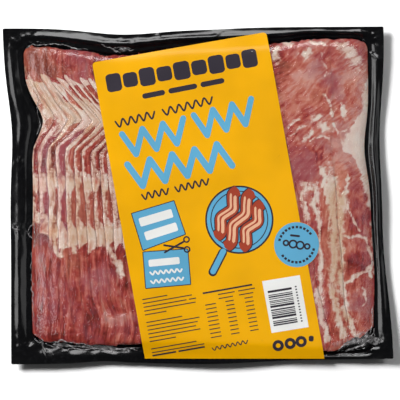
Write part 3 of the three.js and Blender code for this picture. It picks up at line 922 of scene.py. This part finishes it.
def cured_pork():
    """Cured belly pork, sliced by machine."""
    # Lean is moist, see-through red with pale fibres; fat is waxy cream. A wet cut has a broad, soft gloss.
    c = bpy.context.scene.pack_colours
    material, add, place = new_material("cured pork")
    meat = add("Attribute", out="Vector", attribute_name="meat")
    fat_at, paler_at, browner_at = add("SeparateXYZ", {0: meat}).node.outputs
    grain = add("Attribute", out="Vector", attribute_name="grain")
    crevice_shade = add("SeparateXYZ", {0: grain}, out=2)
    # Streaks along the slice, coarse and fine, and blotches of three sizes
    streaky = add("Mapping", {"Vector": grain, "Scale": (0.36, 0.045, 0)})
    streaks = add("TexNoise", {"Vector": streaky, "Scale": 1, "Detail": 5, "Distortion": 0.5})
    fibrous = add("Mapping", {"Vector": grain, "Scale": (1.8, 0.16, 0)})
    fibres = add("TexNoise", {"Vector": fibrous, "Scale": 1, "Detail": 3})
    ragged = add("TexNoise", {"Vector": place, "Scale": per_mm(3.2), "Detail": 6, "Roughness": 0.66})
    blotches = add("TexNoise", {"Vector": place, "Scale": per_mm(8), "Detail": 4, "Roughness": 0.6})
    hue = add("TexNoise", {"Vector": place, "Scale": per_mm(10), "Detail": 4, "Distortion": 0.8})
    # Fat with its ragged border
    frayed = varied(add, fat_at, [(ragged, 1.1), (streaks, 0.6)])
    fat = add("MapRange", {0: frayed, 1: 0.28, 2: 0.7}, interpolation_type="SMOOTHSTEP")
    # How pale the meat is at each point, and the colours of lean and fat from that
    level = varied(add, blotches, [(streaks, 1.5), (fibres, 0.5), (ragged, 0.6)])
    lean_level = add("Math", {0: paler_at, 1: 0.3, 2: level}, operation="MULTIPLY_ADD")
    lean_level = add("Math", {0: lean_level, 1: 0.8}, operation="MULTIPLY")
    fat_level = add("Math", {0: paler_at, 1: 0.2, 2: level}, operation="MULTIPLY_ADD")
    reds = [(0.12, c.lean_deep), (0.34, c.lean), (0.51, c.lean_pale), (0.71, c.lean_fatty), (1.0, c.fat_pink)]
    creams = [(0.1, c.lean_fatty), (0.38, c.fat), (0.8, c.fat_pale)]
    lean, cream = add("ValToRGB", {0: lean_level}), add("ValToRGB", {0: fat_level})
    for shade, stops in ((lean, reds), (cream, creams)):
        elements = shade.node.color_ramp.elements
        while len(elements) < len(stops):
            elements.new(0.5)
        for element, (position, tint) in zip(elements, stops):
            element.position = position
            element.color = tint
    # Purple and brown drifts in the lean, pink and yellow ones in the fat; a few pale purple patches are
    # painted sheen of the film
    drift = varied(add, browner_at, [(hue, 3.0)])
    brown = add("MapRange", {0: drift, 1: 0.0, 2: 1.2, 4: 0.75})
    warm = add("MapRange", {0: drift, 1: 0.2, 2: 1.6, 4: 0.65})
    purple = add("MapRange", {0: drift, 1: 0.0, 2: -1.2, 4: 0.7})
    pinkish = add("Math", {0: purple, 1: 0.6}, operation="MULTIPLY")
    brownish = add("Mix", {0: lean_level, 6: c.lean_brown, 7: c.lean_orange}, out=2, data_type="RGBA")
    red = add("Mix", {0: purple, 6: lean, 7: c.lean_purple}, out=2, data_type="RGBA")
    red = add("Mix", {0: brown, 6: red, 7: brownish}, out=2, data_type="RGBA")
    waxy = add("Mix", {0: warm, 6: cream, 7: c.fat_warm}, out=2, data_type="RGBA")
    waxy = add("Mix", {0: pinkish, 6: waxy, 7: c.fat_pink}, out=2, data_type="RGBA")
    skin = add("Mix", {0: fat, 6: red, 7: waxy}, out=2, data_type="RGBA")
    # Painted shade: a dark line where the next rasher lies over this one
    gap_shade = add("Math", {0: crevice_shade, 1: 0.96}, operation="MULTIPLY")
    gap_shade = add("Math", {0: gap_shade, 1: blotches}, operation="MULTIPLY", use_clamp=True)
    skin = add("Mix", {0: gap_shade, 6: skin, 7: c.crevice_shade_colour}, out=2, data_type="RGBA")
    relief = add("Math", {0: streaks, 1: 0.8, 2: ragged}, operation="MULTIPLY_ADD")
    finish = {
        "Base Color": skin,
        "Roughness": add("MapRange", {0: blotches, 1: 0.3, 2: 0.7, 3: 0.4, 4: 0.6}),
        "IOR": 1.25,
        "Normal": add("Bump", {"Strength": 0.6, "Distance": 0.7 * MM, "Height": relief}),
        "Subsurface Weight": 0.3,
        "Subsurface Radius": (1.0, 0.45, 0.3),
        "Subsurface Scale": 1.3 * MM,
    }
    add("OutputMaterial", {0: add("BsdfPrincipled", finish)})
    return material


def black_nylon_film():
    """Black polyamide film, drawn down by vacuum."""
    # Deep black with a clear, slightly rippled gloss; fine creases break the reflections up.
    c = bpy.context.scene.pack_colours
    material, add, place = new_material("black polyamide film")
    ripple = add("TexNoise", {"Vector": place, "Scale": per_mm(11), "Detail": 3})
    crease = add("TexNoise", {"Vector": place, "Scale": per_mm(2.2), "Detail": 2, "Distortion": 1.2})
    height = add("Math", {0: crease, 1: 0.25, 2: ripple}, operation="MULTIPLY_ADD")
    # Greyer at the peaks of the fine crease noise
    crease_grey = add("MapRange", {0: crease, 1: 0.6, 2: 0.85, 4: 0.06})
    finish = {
        "Base Color": add("Mix", {0: crease_grey, 6: c.black, 7: c.crease_grey}, out=2, data_type="RGBA"),
        "Roughness": add("MapRange", {0: ripple, 1: 0.3, 2: 0.7, 3: 0.12, 4: 0.22}),
        "IOR": 1.52,
        "Normal": add("Bump", {"Strength": 0.3, "Distance": 0.4 * MM, "Height": height}),
    }
    add("OutputMaterial", {0: add("BsdfPrincipled", finish)})
    return material


def clear_nylon_film():
    """Clear polyamide film under vacuum."""
    # Almost nothing to see but its gloss, in small bright lines along its creases; dull where sealed down.
    material, add, place = new_material("clear polyamide film")
    drawn = add("Mapping", {"Vector": place, "Scale": (1.0, 0.45, 1.0)})
    crinkle = add("TexNoise", {"Vector": drawn, "Scale": per_mm(3.5), "Detail": 4, "Distortion": 1.5})
    bump = add("Bump", {"Strength": 0.9, "Distance": 0.7 * MM, "Height": crinkle})
    slant = add("LayerWeight", {"Blend": 0.5, "Normal": bump}, out="Facing")
    steep = add("Math", {0: slant, 1: 5.0}, operation="POWER")
    mirror = add("Math", {0: steep, 1: 0.5, 2: 0.03}, operation="MULTIPLY_ADD")
    free = add("Attribute", out="Fac", attribute_name="free")
    mirror = add("Math", {0: mirror, 1: free}, operation="MULTIPLY")
    clear = add("BsdfTransparent", {"Color": (0.98, 0.98, 0.98, 1)})
    gloss = add("BsdfGlossy", {"Color": (1, 1, 1, 1), "Roughness": 0.14, "Normal": bump})
    add("OutputMaterial", {0: add("MixShader", {0: mirror, 1: clear, 2: gloss})})
    return material


def creased_nylon_film():
    """Clear polyamide film, whitened by creasing and by a painted glint along its folds."""
    # Whitish and broken up where it is stressed, clear between, with a sharp gloss on its little facets. The
    # white is partly the creased film's own and partly a painted glint.
    material, add, place = new_material("creased polyamide film")
    breaks = add("TexNoise", {"Vector": place, "Scale": per_mm(2.6), "Detail": 4})
    broken = add("MapRange", {0: breaks, 1: 0.4, 2: 0.64, 3: 0.08, 4: 0.65})
    milk = add("Attribute", out="Fac", attribute_name="milk")
    finish = {
        "Base Color": bpy.context.scene.pack_colours.crease_white_and_glint,
        "Roughness": 0.18,
        "IOR": 1.5,
        "Alpha": add("Math", {0: broken, 1: milk}, operation="MULTIPLY"),
    }
    add("OutputMaterial", {0: add("BsdfPrincipled", finish)})
    return material


def printed_paper(name, ink, rough):
    """Coated label paper, or one ink on it."""
    # Coated paper is smooth with a dull sheen, and its ink lies a little unevenly.
    material, add, place = new_material(name)
    clouds = add("TexNoise", {"Vector": place, "Scale": per_mm(45), "Detail": 2})
    tooth = add("TexNoise", {"Vector": place, "Scale": per_mm(1.2), "Detail": 2})
    darker = tuple(channel * 0.88 for channel in ink[:3]) + (1.0,)
    uneven = add("MapRange", {0: clouds, 1: 0.35, 2: 0.65})
    finish = {
        "Base Color": add("Mix", {0: uneven, 6: darker, 7: ink}, out=2, data_type="RGBA"),
        "Roughness": rough,
        "IOR": 1.25,
        "Normal": add("Bump", {"Strength": 0.12, "Distance": 0.1 * MM, "Height": tooth}),
    }
    add("OutputMaterial", {0: add("BsdfPrincipled", finish)})
    return material


def pale_table():
    """Matt white laminate."""
    # Plain and pale, with no gloss of its own.
    c = bpy.context.scene.pack_colours
    material, add, place = new_material("white laminate")
    clouds = add("TexNoise", {"Vector": place, "Scale": 1.5})
    tint = add("Mix", {0: clouds, 6: c.table, 7: c.table_pale}, out=2, data_type="RGBA")
    add("OutputMaterial", {0: add("BsdfPrincipled", {"Base Color": tint, "Roughness": 0.8})})
    return material


# The label and its print

LABEL_COS, LABEL_SIN = math.cos(LABEL["turn"]), math.sin(LABEL["turn"])


def on_label(a, b):
    """Place in plan of a point a across the label from its left edge and b down from its top."""
    return LABEL["left"] + a * LABEL_COS + b * LABEL_SIN, LABEL["top"] + a * LABEL_SIN - b * LABEL_COS


def tab_middle():
    """The round tab's middle, across and down the label."""
    dx, dy = TAB["x"] - LABEL["left"], TAB["y"] - LABEL["top"]
    return dx * LABEL_COS + dy * LABEL_SIN, dx * LABEL_SIN - dy * LABEL_COS


def label_end(a):
    """How far down the label its straight cut lies, a across it."""
    return (LABEL["top"] - LABEL["cut"] + a * LABEL_SIN) / LABEL_COS


def stroke(path, side, half, layer, lanes):
    """A printed ribbon: points along its middle, the way its side lies there and half its width there."""
    half = np.broadcast_to(half, len(path))
    side = np.broadcast_to(side, path.shape)
    return {"path": path, "side": side, "half": half, "layer": layer, "lanes": lanes}


def line_stroke(start, end, half, layer=0, lanes=2, rounded=None, pitch=3.0):
    """A straight bar with rounded ends, or square ones where rounded is 0."""
    start, end = np.array(start, dtype=float), np.array(end, dtype=float)
    long = math.dist(start, end)
    radius = half if rounded is None else min(rounded, half)
    ends = radius * np.array([0, 0.03, 0.12, 0.3, 0.6, 1.0]) if radius > 0 else np.zeros(1)
    middle = np.linspace(ends[-1], long - ends[-1], max(2, int(long / pitch) + 1))[1:-1]
    places = np.concatenate([ends, middle, long - ends[::-1]])
    from_end = np.minimum(places, long - places)
    corner = radius - np.sqrt(np.clip(radius**2 - (radius - np.minimum(from_end, radius)) ** 2, 0, None))
    run = (end - start) / long
    return stroke(mix(start, end, places[:, None] / long), (-run[1], run[0]), half - corner, layer, lanes)


def curved_stroke(points, half, layer=0, lanes=2, samples=10, taper=0.6):
    """A brush stroke through a few points, rounded at its ends."""
    points = np.array(points, dtype=float)
    padded = np.vstack([2 * points[0] - points[1], points, 2 * points[-1] - points[-2]])
    t = np.linspace(0, 1, samples, endpoint=False)[:, None]
    path = []
    for p0, p1, p2, p3 in zip(padded, padded[1:], padded[2:], padded[3:]):
        square, cube = 2 * p0 - 5 * p1 + 4 * p2 - p3, 3 * p1 - p0 - 3 * p2 + p3
        path.append(0.5 * (2 * p1 + (p2 - p0) * t + square * t**2 + cube * t**3))
    path = np.vstack(path + [points[-1]])
    place = np.concatenate([[0], np.cumsum(np.hypot(*np.diff(path, axis=0).T))])
    from_end = np.minimum(place, place[-1] - place)
    cap = rounding(from_end / (half * taper))
    ends = np.vstack([path[0], path, path[-1]])
    run = ends[2:] - ends[:-2]
    run = run / np.maximum(np.hypot(*run.T), 1e-9)[:, None]
    return stroke(path, np.stack([-run[:, 1], run[:, 0]], axis=1), half * np.maximum(cap, 0.05), layer, lanes)


def disc(middle, radius):
    """A filled circle."""
    t = np.linspace(0, math.pi, 40)
    path = np.stack([middle[0] - radius * np.cos(t), np.full(40, middle[1])], axis=1)
    return stroke(path, (0, 1), radius * np.maximum(np.sin(t), 0.004), 0, 12)


def ring(middle, radius, half, start=0.0, end=360.0, layer=0):
    """A circle or an arc drawn with a pen."""
    count = max(8, int(abs(end - start) / 6))
    t = np.radians(np.linspace(start, end, count + 1))
    side = np.stack([np.cos(t), -np.sin(t)], axis=1)
    return stroke(np.array(middle) + radius * side, side, half, layer, 2)


def panel(corners):
    """A four-cornered field, given clockwise from its top left."""
    tl, tr, br, bl = np.array(corners, dtype=float)
    t = np.linspace(0, 1, 14)[:, None]
    left, right = mix(tl, bl, t), mix(tr, br, t)
    return stroke((left + right) / 2, (right - left) / 2, 1.0, 0, 12)


def text_bars(left, top, rows, pitch, half):
    """Rows of short bars, standing for small print. Each row lists the start and length of its bars."""
    made = []
    for n, row in enumerate(rows):
        b = top + n * pitch
        for start, long in row:
            made.append(line_stroke((left + start, b), (left + start + long, b), half, 0, 1, rounded=0.0))
    return made


def heading_blocks():
    """A row of bold blocks across the top of the label, where such a pack has its title."""
    made = []
    place = 8.6
    for n, width in enumerate((12.5, 12, 13, 12.5, 13.5, 12.5, 13, 12, 12.5)):
        half = 6.0 if n % 2 else 7.5
        made.append(line_stroke((place, 19.4), (place + width, 19.4), half, 0, 6, rounded=3.2, pitch=2.5))
        place += width + 1.6
    return made


def turns_about(start, end, height, turns):
    """Points to and fro about a line, the first of them above it."""
    t = np.linspace(0, 1, turns + 1)
    swing = np.where(np.arange(turns + 1) % 2, height, -height)
    return np.stack([mix(start[0], end[0], t), mix(start[1], end[1], t) + swing], axis=1)


def wave(start, end, height, humps, half, layer=0):
    """A zigzag brush line with rounded turns."""
    return curved_stroke(turns_about(start, end, height, 2 * humps), half, layer, 4, samples=9)


def zigzag(start, end, height, turns, half):
    """A broad zigzag of separate strokes with round ends, each a hair above or below the next."""
    points = turns_about(start, end, height, turns)
    made = []
    for n, (first, last) in enumerate(zip(points, points[1:])):
        reach = half * (last - first) / math.dist(first, last)
        made.append(line_stroke(first - reach, last + reach, half, 0.3 * (n % 2), 4))
    return made


def bacon_shape(middle, long, turn, half, humps, layer):
    """A printed rasher: a wavy band, its outline and its two streaks of fat."""
    c, s = math.cos(math.radians(turn)), math.sin(math.radians(turn))
    t = np.linspace(-0.5, 0.5, humps * 4 + 1)

    def path(offset):
        bend = 2.6 * np.sin(t * humps * 2 * math.pi) + offset
        return np.stack([middle[0] + t * long * c - bend * s, middle[1] + t * long * s + bend * c], axis=1)

    body = curved_stroke(path(0), half, layer, 4, samples=5, taper=0.4)
    rim = curved_stroke(path(0), half + 0.8, layer - 1, 4, samples=5, taper=0.4)
    fat = [(-half * 0.45, 0.9), (half * 0.4, 1.3)]
    return body, rim, [curved_stroke(path(o)[1:-1], width, layer + 1, 2, samples=5) for o, width in fat]


def lay_strokes(name, strokes, material):
    """Makes the ribbons of one colour, lays them on the label and joins them to one piece."""
    sizes = bpy.context.scene.pack_sizes
    heights = surfaces()["label"]
    made = []
    for item in strokes:
        lift = sizes.label / MM + PRINT_LIFT * (1 + item["layer"])

        def shape(column, row, item=item, lift=lift):
            spread = (2 * column / item["lanes"] - 1) * item["half"][row]
            a, b = (item["path"][row, axis] + spread * item["side"][row, axis] for axis in (0, 1))
            x, y = on_label(a, b)
            return x, y, heights.at(x, y) + lift

        made.append(shaped_grid(name, item["lanes"] + 1, len(item["path"]), shape)[0])
    obj = join_pieces(made, name)
    face_up(obj)
    thicken(obj, sizes.ink)
    finish_piece(obj, material, "label")


# Loose folds of the clear film round the bacon, whitened partly by creasing and partly by a painted glint:
# their course and half width
FOLDS = [
    ([(-135.6, -36.5), (-138, -55), (-137, -78), (-136, -101), (-135, -112)], 0.5),
    ([(-153.5, -26), (-147, -28.5)], 0.4), ([(-150.8, -21.5), (-149.6, -28), (-149, -34)], 0.35),
    ([(-142, -29.5), (-136.6, -22.5), (-135, -36.8)], 0.45), ([(-142.2, -29.5), (-135.2, -37)], 0.4),
    ([(-135.2, -114), (-126, -121.5), (-113, -120.5), (-94, -123.5), (-72, -126.5), (-50, -127.5)], 0.65),
    ([(-131, -118.5), (-128, -126), (-119, -132.5)], 0.6),
    ([(-126, -124), (-108, -127.5), (-88, -127), (-66, -130)], 0.55), ([(-112, -120.5), (-104, -127)], 0.5),
    ([(-92, -123), (-84, -129)], 0.5), ([(-133, 82), (-132.5, 70), (-130.6, 60), (-132.4, 50)], 0.4),
    ([(-80.5, 126), (-72, 121.5), (-64, 118.2)], 0.7), ([(-72, 121.5), (-60, 122.5), (-52, 120)], 0.8),
    ([(-143, 121), (-137, 126), (-128, 124.5), (-118, 126), (-106, 122.5), (-92, 120.5)], 0.35),
    ([(110, -124), (126, -119.5), (142, -121.5)], 4.2), ([(138, -116), (147, -121), (153, -119)], 2.6),
    ([(116, -127), (126, -122), (136, -118), (143, -110)], 0.5),
    ([(118, -125), (130, -119.5), (140, -114)], 3),
    ([(-120, -123.5), (-100, -125), (-80, -126), (-56, -129)], 1.9), ([(-66, 121), (-56, 121.5)], 2.2),
    ([(121, -129), (133, -126), (141, -120), (147, -110)], 0.7),
    ([(141, -118), (144.5, -104), (146, -88)], 0.5), ([(144.5, -60), (145.5, -44), (144, -28)], 0.3),
]


def fold_ribbon(path, half, seed):
    """A small roof-shaped fold along a path, crumpled sideways and in height."""
    path = np.array(path)
    place = np.concatenate([[0], np.cumsum(np.hypot(*np.diff(path, axis=0).T))])
    spots = np.linspace(0, place[-1], max(6, int(place[-1] / 0.45)))
    loose = 1.0 if half < 1 else 0.4
    run = []
    for axis in (0, 1):
        own = seed + 2 * axis
        crumple = 0.9 * wander(spots, 0, 4.2, own) + 0.4 * wander(spots, 0, 1.5, own + 1)
        run.append(np.interp(spots, place, path[:, axis]) + loose * crumple)
    x, y = run
    run = np.stack([np.gradient(x), np.gradient(y)])
    run = run / np.hypot(*run)
    from_end = np.minimum(spots, place[-1] - spots)
    size = half * (0.75 + 0.6 * wander(spots, 0, 3.0 + 2 * half, seed + 4)) * ramp(from_end, -0.5, 3)
    under = surfaces()

    def shape(column, row):
        sideways = (column - 1) * size[row]
        px, py = x[row] - sideways * run[1, row], y[row] + sideways * run[0, row]
        base = np.maximum(under["film"].at(px, py), under["web"].at(px, py))
        return px, py, base + 0.06 + np.where(column == 1, np.minimum(1.1 * size[row], 0.9), 0.0)

    obj, column, _ = shaped_grid(f"fold_{seed}", 3, len(spots), shape)
    # How white the fold is, from creasing and a painted glint: most along its ridge and on narrow folds
    store(obj, "milk", min(0.75, 0.9 / half) * np.where(column == 1, 1.0, 0.7))
    return obj


# Operators


class BackingFilm(bpy.types.Operator):
    """Black film with its pocket and wavy flange"""

    bl_idname = "bacon_pack.backing_film"
    bl_label = "Backing film"

    def execute(self, context):
        across, up = spaced(PACK_WIDTH, 30, 0.85, 2.4), spaced(PACK_TALL, 30, 0.85, 2.4)

        def shape(column, row):
            x, y = patch(SHEET, across[column], up[row], 0.0)
            return x, y, web_height(x, y)

        obj = shaped_grid("black_film", len(across), len(up), shape)[0]
        thicken(obj, BLACK_FILM * MM, -1.0)
        finish_piece(obj, black_nylon_film(), "black_film", "black_backing_film")
        return {"FINISHED"}


class Rashers(bpy.types.Operator):
    """The shingled rashers"""

    bl_idname = "bacon_pack.rashers"
    bl_label = "Rashers"

    def execute(self, context):
        material = cured_pork()
        for k in range(RASHERS):
            make_rasher(k, material)
        return {"FINISHED"}


class ClearFilm(bpy.types.Operator):
    """Clear film drawn down over the rashers"""

    bl_idname = "bacon_pack.clear_film"
    bl_label = "Clear film"

    def execute(self, context):
        heights = surfaces()["film"]
        across, up = spaced(294, 16, 0.8, 1.35), spaced(266, 16, 0.8, 1.6)

        def shape(column, row):
            x, y = patch(BED, across[column], up[row], -SEAL_OUT - FILM_LAP)
            return x, y, heights.at(x, y)

        obj, column, row = shaped_grid("clear_film", len(across), len(up), shape)
        x, y, _ = shape(column, row)
        store(obj, "free", ramp(depth_in_bed(x, y), 0.5, 6))
        thicken(obj, context.scene.pack_sizes.film)
        finish_piece(obj, clear_nylon_film(), "clear_film", "bacon_in_clear_film")
        return {"FINISHED"}


class FilmFolds(bpy.types.Operator):
    """Small folds of the clear film round the bacon, whitened and with a painted glint"""

    bl_idname = "bacon_pack.film_folds"
    bl_label = "Film folds"

    def execute(self, context):
        made = [fold_ribbon(path, half, 200 + 10 * n) for n, (path, half) in enumerate(FOLDS)]
        obj = join_pieces(made, "film_folds")
        face_up(obj)
        thicken(obj, context.scene.pack_sizes.film)
        finish_piece(obj, creased_nylon_film(), "clear_film", "bacon_in_clear_film")
        return {"FINISHED"}


class Label(bpy.types.Operator):
    """The slanted label with its round tab"""

    bl_idname = "bacon_pack.label"
    bl_label = "Label"

    def execute(self, context):
        heights = surfaces()["label"]
        tab_a, tab_b = tab_middle()
        wide, r = LABEL["width"], LABEL["corner"]
        meets = math.sqrt(TAB["radius"] ** 2 - (wide - tab_a) ** 2)
        low, foot = tab_b + meets, label_end(wide)
        top = r * (1 - np.cos(np.linspace(0, math.pi / 2, 9)))
        arc = tab_b + meets * np.sin(np.linspace(-math.pi / 2, math.pi / 2, 46))
        before = np.linspace(r, arc[0], int((arc[0] - r) / 1.5))[1:-1]
        after = np.linspace(low, foot, int((foot - low) / 1.1))[1:]
        downs = np.concatenate([top, before, arc, after])

        def shape(column, row):
            b = downs[row]
            nick = r - np.sqrt(np.clip(r**2 - (r - np.minimum(b, r)) ** 2, 0, None))
            bulge = np.sqrt(np.clip(TAB["radius"] ** 2 - (b - tab_b) ** 2, 0, None))
            a = mix(nick, np.maximum(wide, tab_a + bulge) - nick, column / LABEL_LANES)
            down = np.where(b > low, low + (b - low) * (label_end(a) - low) / (foot - low), b)
            x, y = on_label(a, down)
            return x, y, heights.at(x, y)

        obj = shaped_grid("label_sheet", LABEL_LANES + 1, len(downs), shape)[0]
        face_up(obj)
        thicken(obj, context.scene.pack_sizes.label)
        yellow = context.scene.pack_colours.yellow
        finish_piece(obj, printed_paper("yellow label paper", yellow, 0.3), "label", "label")
        return {"FINISHED"}


class Print(bpy.types.Operator):
    """Plain shapes where the label carries its print"""

    bl_idname = "bacon_pack.print"
    bl_label = "Print"

    def execute(self, context):
        inks = {name: [] for name in ("dark", "blue", "white", "red", "cream")}
        dark, blue, white, red, cream = inks.values()
        self.headings(dark, blue)
        self.panels(dark, blue, white)
        self.frying_pan(dark, blue, red, cream)
        self.small_print(dark, white)
        self.round_tab(dark, blue)
        for name, strokes in inks.items():
            ink = getattr(context.scene.pack_colours, name)
            lay_strokes("print_" + name, strokes, printed_paper("ink " + name, ink, 0.32))
        return {"FINISHED"}

    def headings(self, dark, blue):
        dark += heading_blocks()
        for start, long in [(36, 19), (58, 24), (85, 20)]:
            dark.append(line_stroke((start, 35.6 - start * 0.02), (start + long, 35.2 - start * 0.02), 2.2))
        for start, end, height, humps, half in [
            ((10, 53.5), (44, 51.0), 3.0, 5, 0.75),
            ((50, 50.6), (93, 47.5), 3.0, 6, 0.75),
            ((21, 116.4), (44, 115.2), 2.6, 4, 0.7),
            ((49, 115.0), (78, 113.2), 2.6, 5, 0.7),
        ]:
            dark.append(wave(start, end, height, humps, half))
        blue += zigzag((14, 72), (66, 68), 9.5, 6, 2.5)
        blue += zigzag((75, 67), (124, 62), 9.5, 6, 2.5)
        blue += zigzag((14, 98), (99, 94), 10.0, 9, 2.7)

    def panels(self, dark, blue, white):
        first = [(10.2, 128.3), (46.7, 124.0), (51.2, 153.1), (14.0, 160.1)]
        second = [(13.9, 161.2), (50.9, 165.2), (48.2, 194.6), (10.9, 191.4)]
        for corners in (first, second):
            blue.append(panel(corners))
            for start, end in zip(corners, corners[1:] + corners[:1]):
                dark.append(line_stroke(start, end, 0.35, 1, 1))
        for start, end, half in [
            ((15.5, 137.0), (43.5, 133.8), 3.6),
            ((18.0, 149.0), (45.5, 145.4), 3.6),
            ((17.0, 171.4), (42.5, 173.4), 2.9),
        ]:
            white.append(line_stroke(start, end, half, 1, 3, rounded=1.2))
        white.append(wave((16.5, 179.6), (43.5, 181.6), 1.3, 6, 0.7, 1))
        white.append(wave((15.8, 186.8), (43.5, 188.6), 1.3, 6, 0.7, 1))
        # Scissors
        dark.append(line_stroke((31.0, 165.0), (49.0, 158.6), 0.8, 2))
        dark.append(line_stroke((31.5, 158.6), (48.0, 164.2), 0.8, 2))
        dark.append(ring((51.2, 157.4), 2.2, 0.6, layer=2))
        dark.append(ring((50.2, 165.6), 2.2, 0.6, layer=2))

    def frying_pan(self, dark, blue, red, cream):
        middle = np.array([97.0, 149.0])
        blue.append(disc(middle, 27.5))
        dark.append(ring(middle, 27.5, 0.7, layer=1))
        dark.append(ring(middle, 23.5, 0.4, layer=1))
        handle = np.array([math.cos(math.radians(127)), math.sin(math.radians(127))])
        near, far = middle + 27.0 * handle, middle + 52.0 * handle
        dark.append(line_stroke(near, far, 3.6, 1, 3))
        blue.append(line_stroke(near, far + (1.0, -1.4), 2.4, 2, 3))
        for offset, long in [(-11.5, 44.0), (0.0, 52.0), (11.5, 42.0)]:
            place = middle + offset * np.array([0.8, 0.6])
            body, rim, streaks = bacon_shape(place, long, -53, 4.6, 2, 3)
            red.append(body)
            dark.append(rim)
            cream += streaks

    def small_print(self, dark, white):
        lengths = (21, 41, 36, 43, 18, 0, 30, 44, 42, 40, 43, 22, 0, 38, 44)
        rows = [[(0, long)] if long else [] for long in lengths]
        rows[2].append((38, 6))
        dark += text_bars(6.5, 200.0, rows, 3.2, 0.42)
        dark += text_bars(6.5, 247.4, [[(0, 20), (22, 22)]], 3, 0.7)
        table = [[(12, 14), (29, 14)], [(12, 12), (29, 12)]] + [[(0, 9), (17, 7), (33, 7)]] * 9
        dark += text_bars(56.8, 206.8, table, 3.4, 0.42)
        dark.append(line_stroke((56.6, 203.6), (98.0, 203.6), 0.7, 0, 1, rounded=0.0))
        dark.append(wave((56, 250.4), (86.5, 249.2), 1.4, 7, 0.45))
        # Bar field: a white ground, plain bars and a row of dots
        white.append(panel([(106.6, 202.3), (138.1, 202.8), (137.8, 246.3), (106.8, 245.8)]))
        draw = np.random.RandomState(12)
        down = 212.0
        while down < 240.5:
            thick = draw.choice([0.36, 0.36, 0.6, 0.9])
            dark.append(line_stroke((109.6, down), (129.6, down + 0.3), thick, 1, 1, rounded=0.0, pitch=9))
            down += thick * 2 + draw.choice([0.5, 0.8, 1.1])
        for n in range(13):
            down = 211.5 + n * 2.4
            dark.append(line_stroke((132.4, down), (133.8, down), 0.55, 1, 1, rounded=0.0))
        for middle in (110.35, 120.4, 129.6):
            dark.append(ring((middle, 257.0), 3.3, 1.35))
        dark.append(line_stroke((136.2, 255.6), (140.2, 256.4), 2.3, rounded=1.4))

    def round_tab(self, dark, blue):
        middle = np.array(tab_middle())
        blue.append(disc(middle, TAB["radius"] - 0.15))
        for angle in (*np.arange(25, 160, 12.5), *np.arange(205, 340, 12.5)):
            dark.append(ring(middle, 14.6, 1.0, angle, angle + 8, 1))
        for step, tall in [(-8.4, 3.0), (-2.8, 4.0), (2.8, 4.0), (8.4, 3.0)]:
            dark.append(ring(middle + (step, step * 0.35), tall - 1.0, 0.75, layer=1))
        dark.append(line_stroke(middle + (-4, -8.6), middle + (4, -6.4), 0.9, 1, 1))


class Stage(bpy.types.Operator):
    """Pale table, soft studio lights and the camera that looks straight down"""

    bl_idname = "bacon_pack.stage"
    bl_label = "Stage"

    def execute(self, context):
        choose()
        bpy.ops.mesh.primitive_plane_add(size=6)
        floor = context.object
        floor.name = "table_top"
        floor.data.materials.append(pale_table())
        for name, place, size, watts, use in LAMPS:
            lamp = self.light(name, place, size, watts, use != "gloss")
            if use != "gloss":
                self.link(lamp, floor, "INCLUDE" if use == "table" else "EXCLUDE")
        world = bpy.data.worlds.new("studio")
        world.use_nodes = True
        world.node_tree.nodes["Background"].inputs["Color"].default_value = (1, 1, 1, 1)
        world.node_tree.nodes["Background"].inputs["Strength"].default_value = 0.045
        context.scene.world = world
        choose()
        place = (*VIEW["middle"], VIEW["distance"])
        bpy.ops.object.camera_add(location=[n * MM for n in place], rotation=(0, 0, 0))
        camera = context.object
        camera.data.sensor_width = VIEW["sensor"]
        camera.data.lens = VIEW["sensor"] * (VIEW["distance"] - VIEW["height"]) / VIEW["width"]
        camera.data.clip_end = 20
        context.scene.camera = camera
        context.scene.view_settings.view_transform = "Standard"
        return {"FINISHED"}

    def light(self, name, place, size, watts, lights):
        """A square lamp aimed at the pack, that lights surfaces or is only mirrored in their gloss."""
        away = math.hypot(*place)
        heading = math.atan2(place[1], place[0]) + math.pi / 2
        bpy.ops.object.light_add(type="AREA", location=place, rotation=(math.acos(place[2] / away), 0, heading))
        lamp = bpy.context.object
        lamp.name = name
        lamp.data.shape = "SQUARE"
        lamp.data.size = size
        lamp.data.energy = watts
        lamp.visible_diffuse = lights
        lamp.visible_transmission = lights
        lamp.visible_glossy = not lights
        return lamp

    def link(self, lamp, obj, state):
        """Lets a lamp light only one object, or all but that one."""
        group = bpy.data.collections.new(lamp.name)
        group.objects.link(obj)
        group.collection_objects[0].light_linking.link_state = state
        lamp.light_linking.receiver_collection = group


class BaconPackPanel(bpy.types.Panel):
    """Sizes, colours and steps of the pack"""

    bl_idname = "VIEW3D_PT_bacon_pack"
    bl_label = "Bacon Pack"
    bl_space_type = "VIEW_3D"
    bl_region_type = "UI"
    bl_category = "Bacon Pack"

    def draw(self, context):
        for group in (context.scene.pack_sizes, context.scene.pack_colours):
            for name in group.__annotations__:
                self.layout.prop(group, name)
        for operator in OPERATORS:
            self.layout.operator(operator.bl_idname)


OPERATORS = (BackingFilm, Rashers, ClearFilm, FilmFolds, Label, Print, Stage)
CLASSES = (PackSizes, PackColours) + OPERATORS + (BaconPackPanel,)


def register():
    for cls in CLASSES:
        bpy.utils.register_class(cls)
    bpy.types.Scene.pack_sizes = bpy.props.PointerProperty(type=PackSizes)
    bpy.types.Scene.pack_colours = bpy.props.PointerProperty(type=PackColours)


def unregister():
    del bpy.types.Scene.pack_colours
    del bpy.types.Scene.pack_sizes
    for cls in reversed(CLASSES):
        bpy.utils.unregister_class(cls)


def main():
    register()
    bpy.ops.bacon_pack.backing_film()
    bpy.ops.bacon_pack.rashers()
    bpy.ops.bacon_pack.clear_film()
    bpy.ops.bacon_pack.film_folds()
    bpy.ops.bacon_pack.label()
    bpy.ops.bacon_pack.print()
    bpy.ops.bacon_pack.stage()


if __name__ == "__main__":
    main()
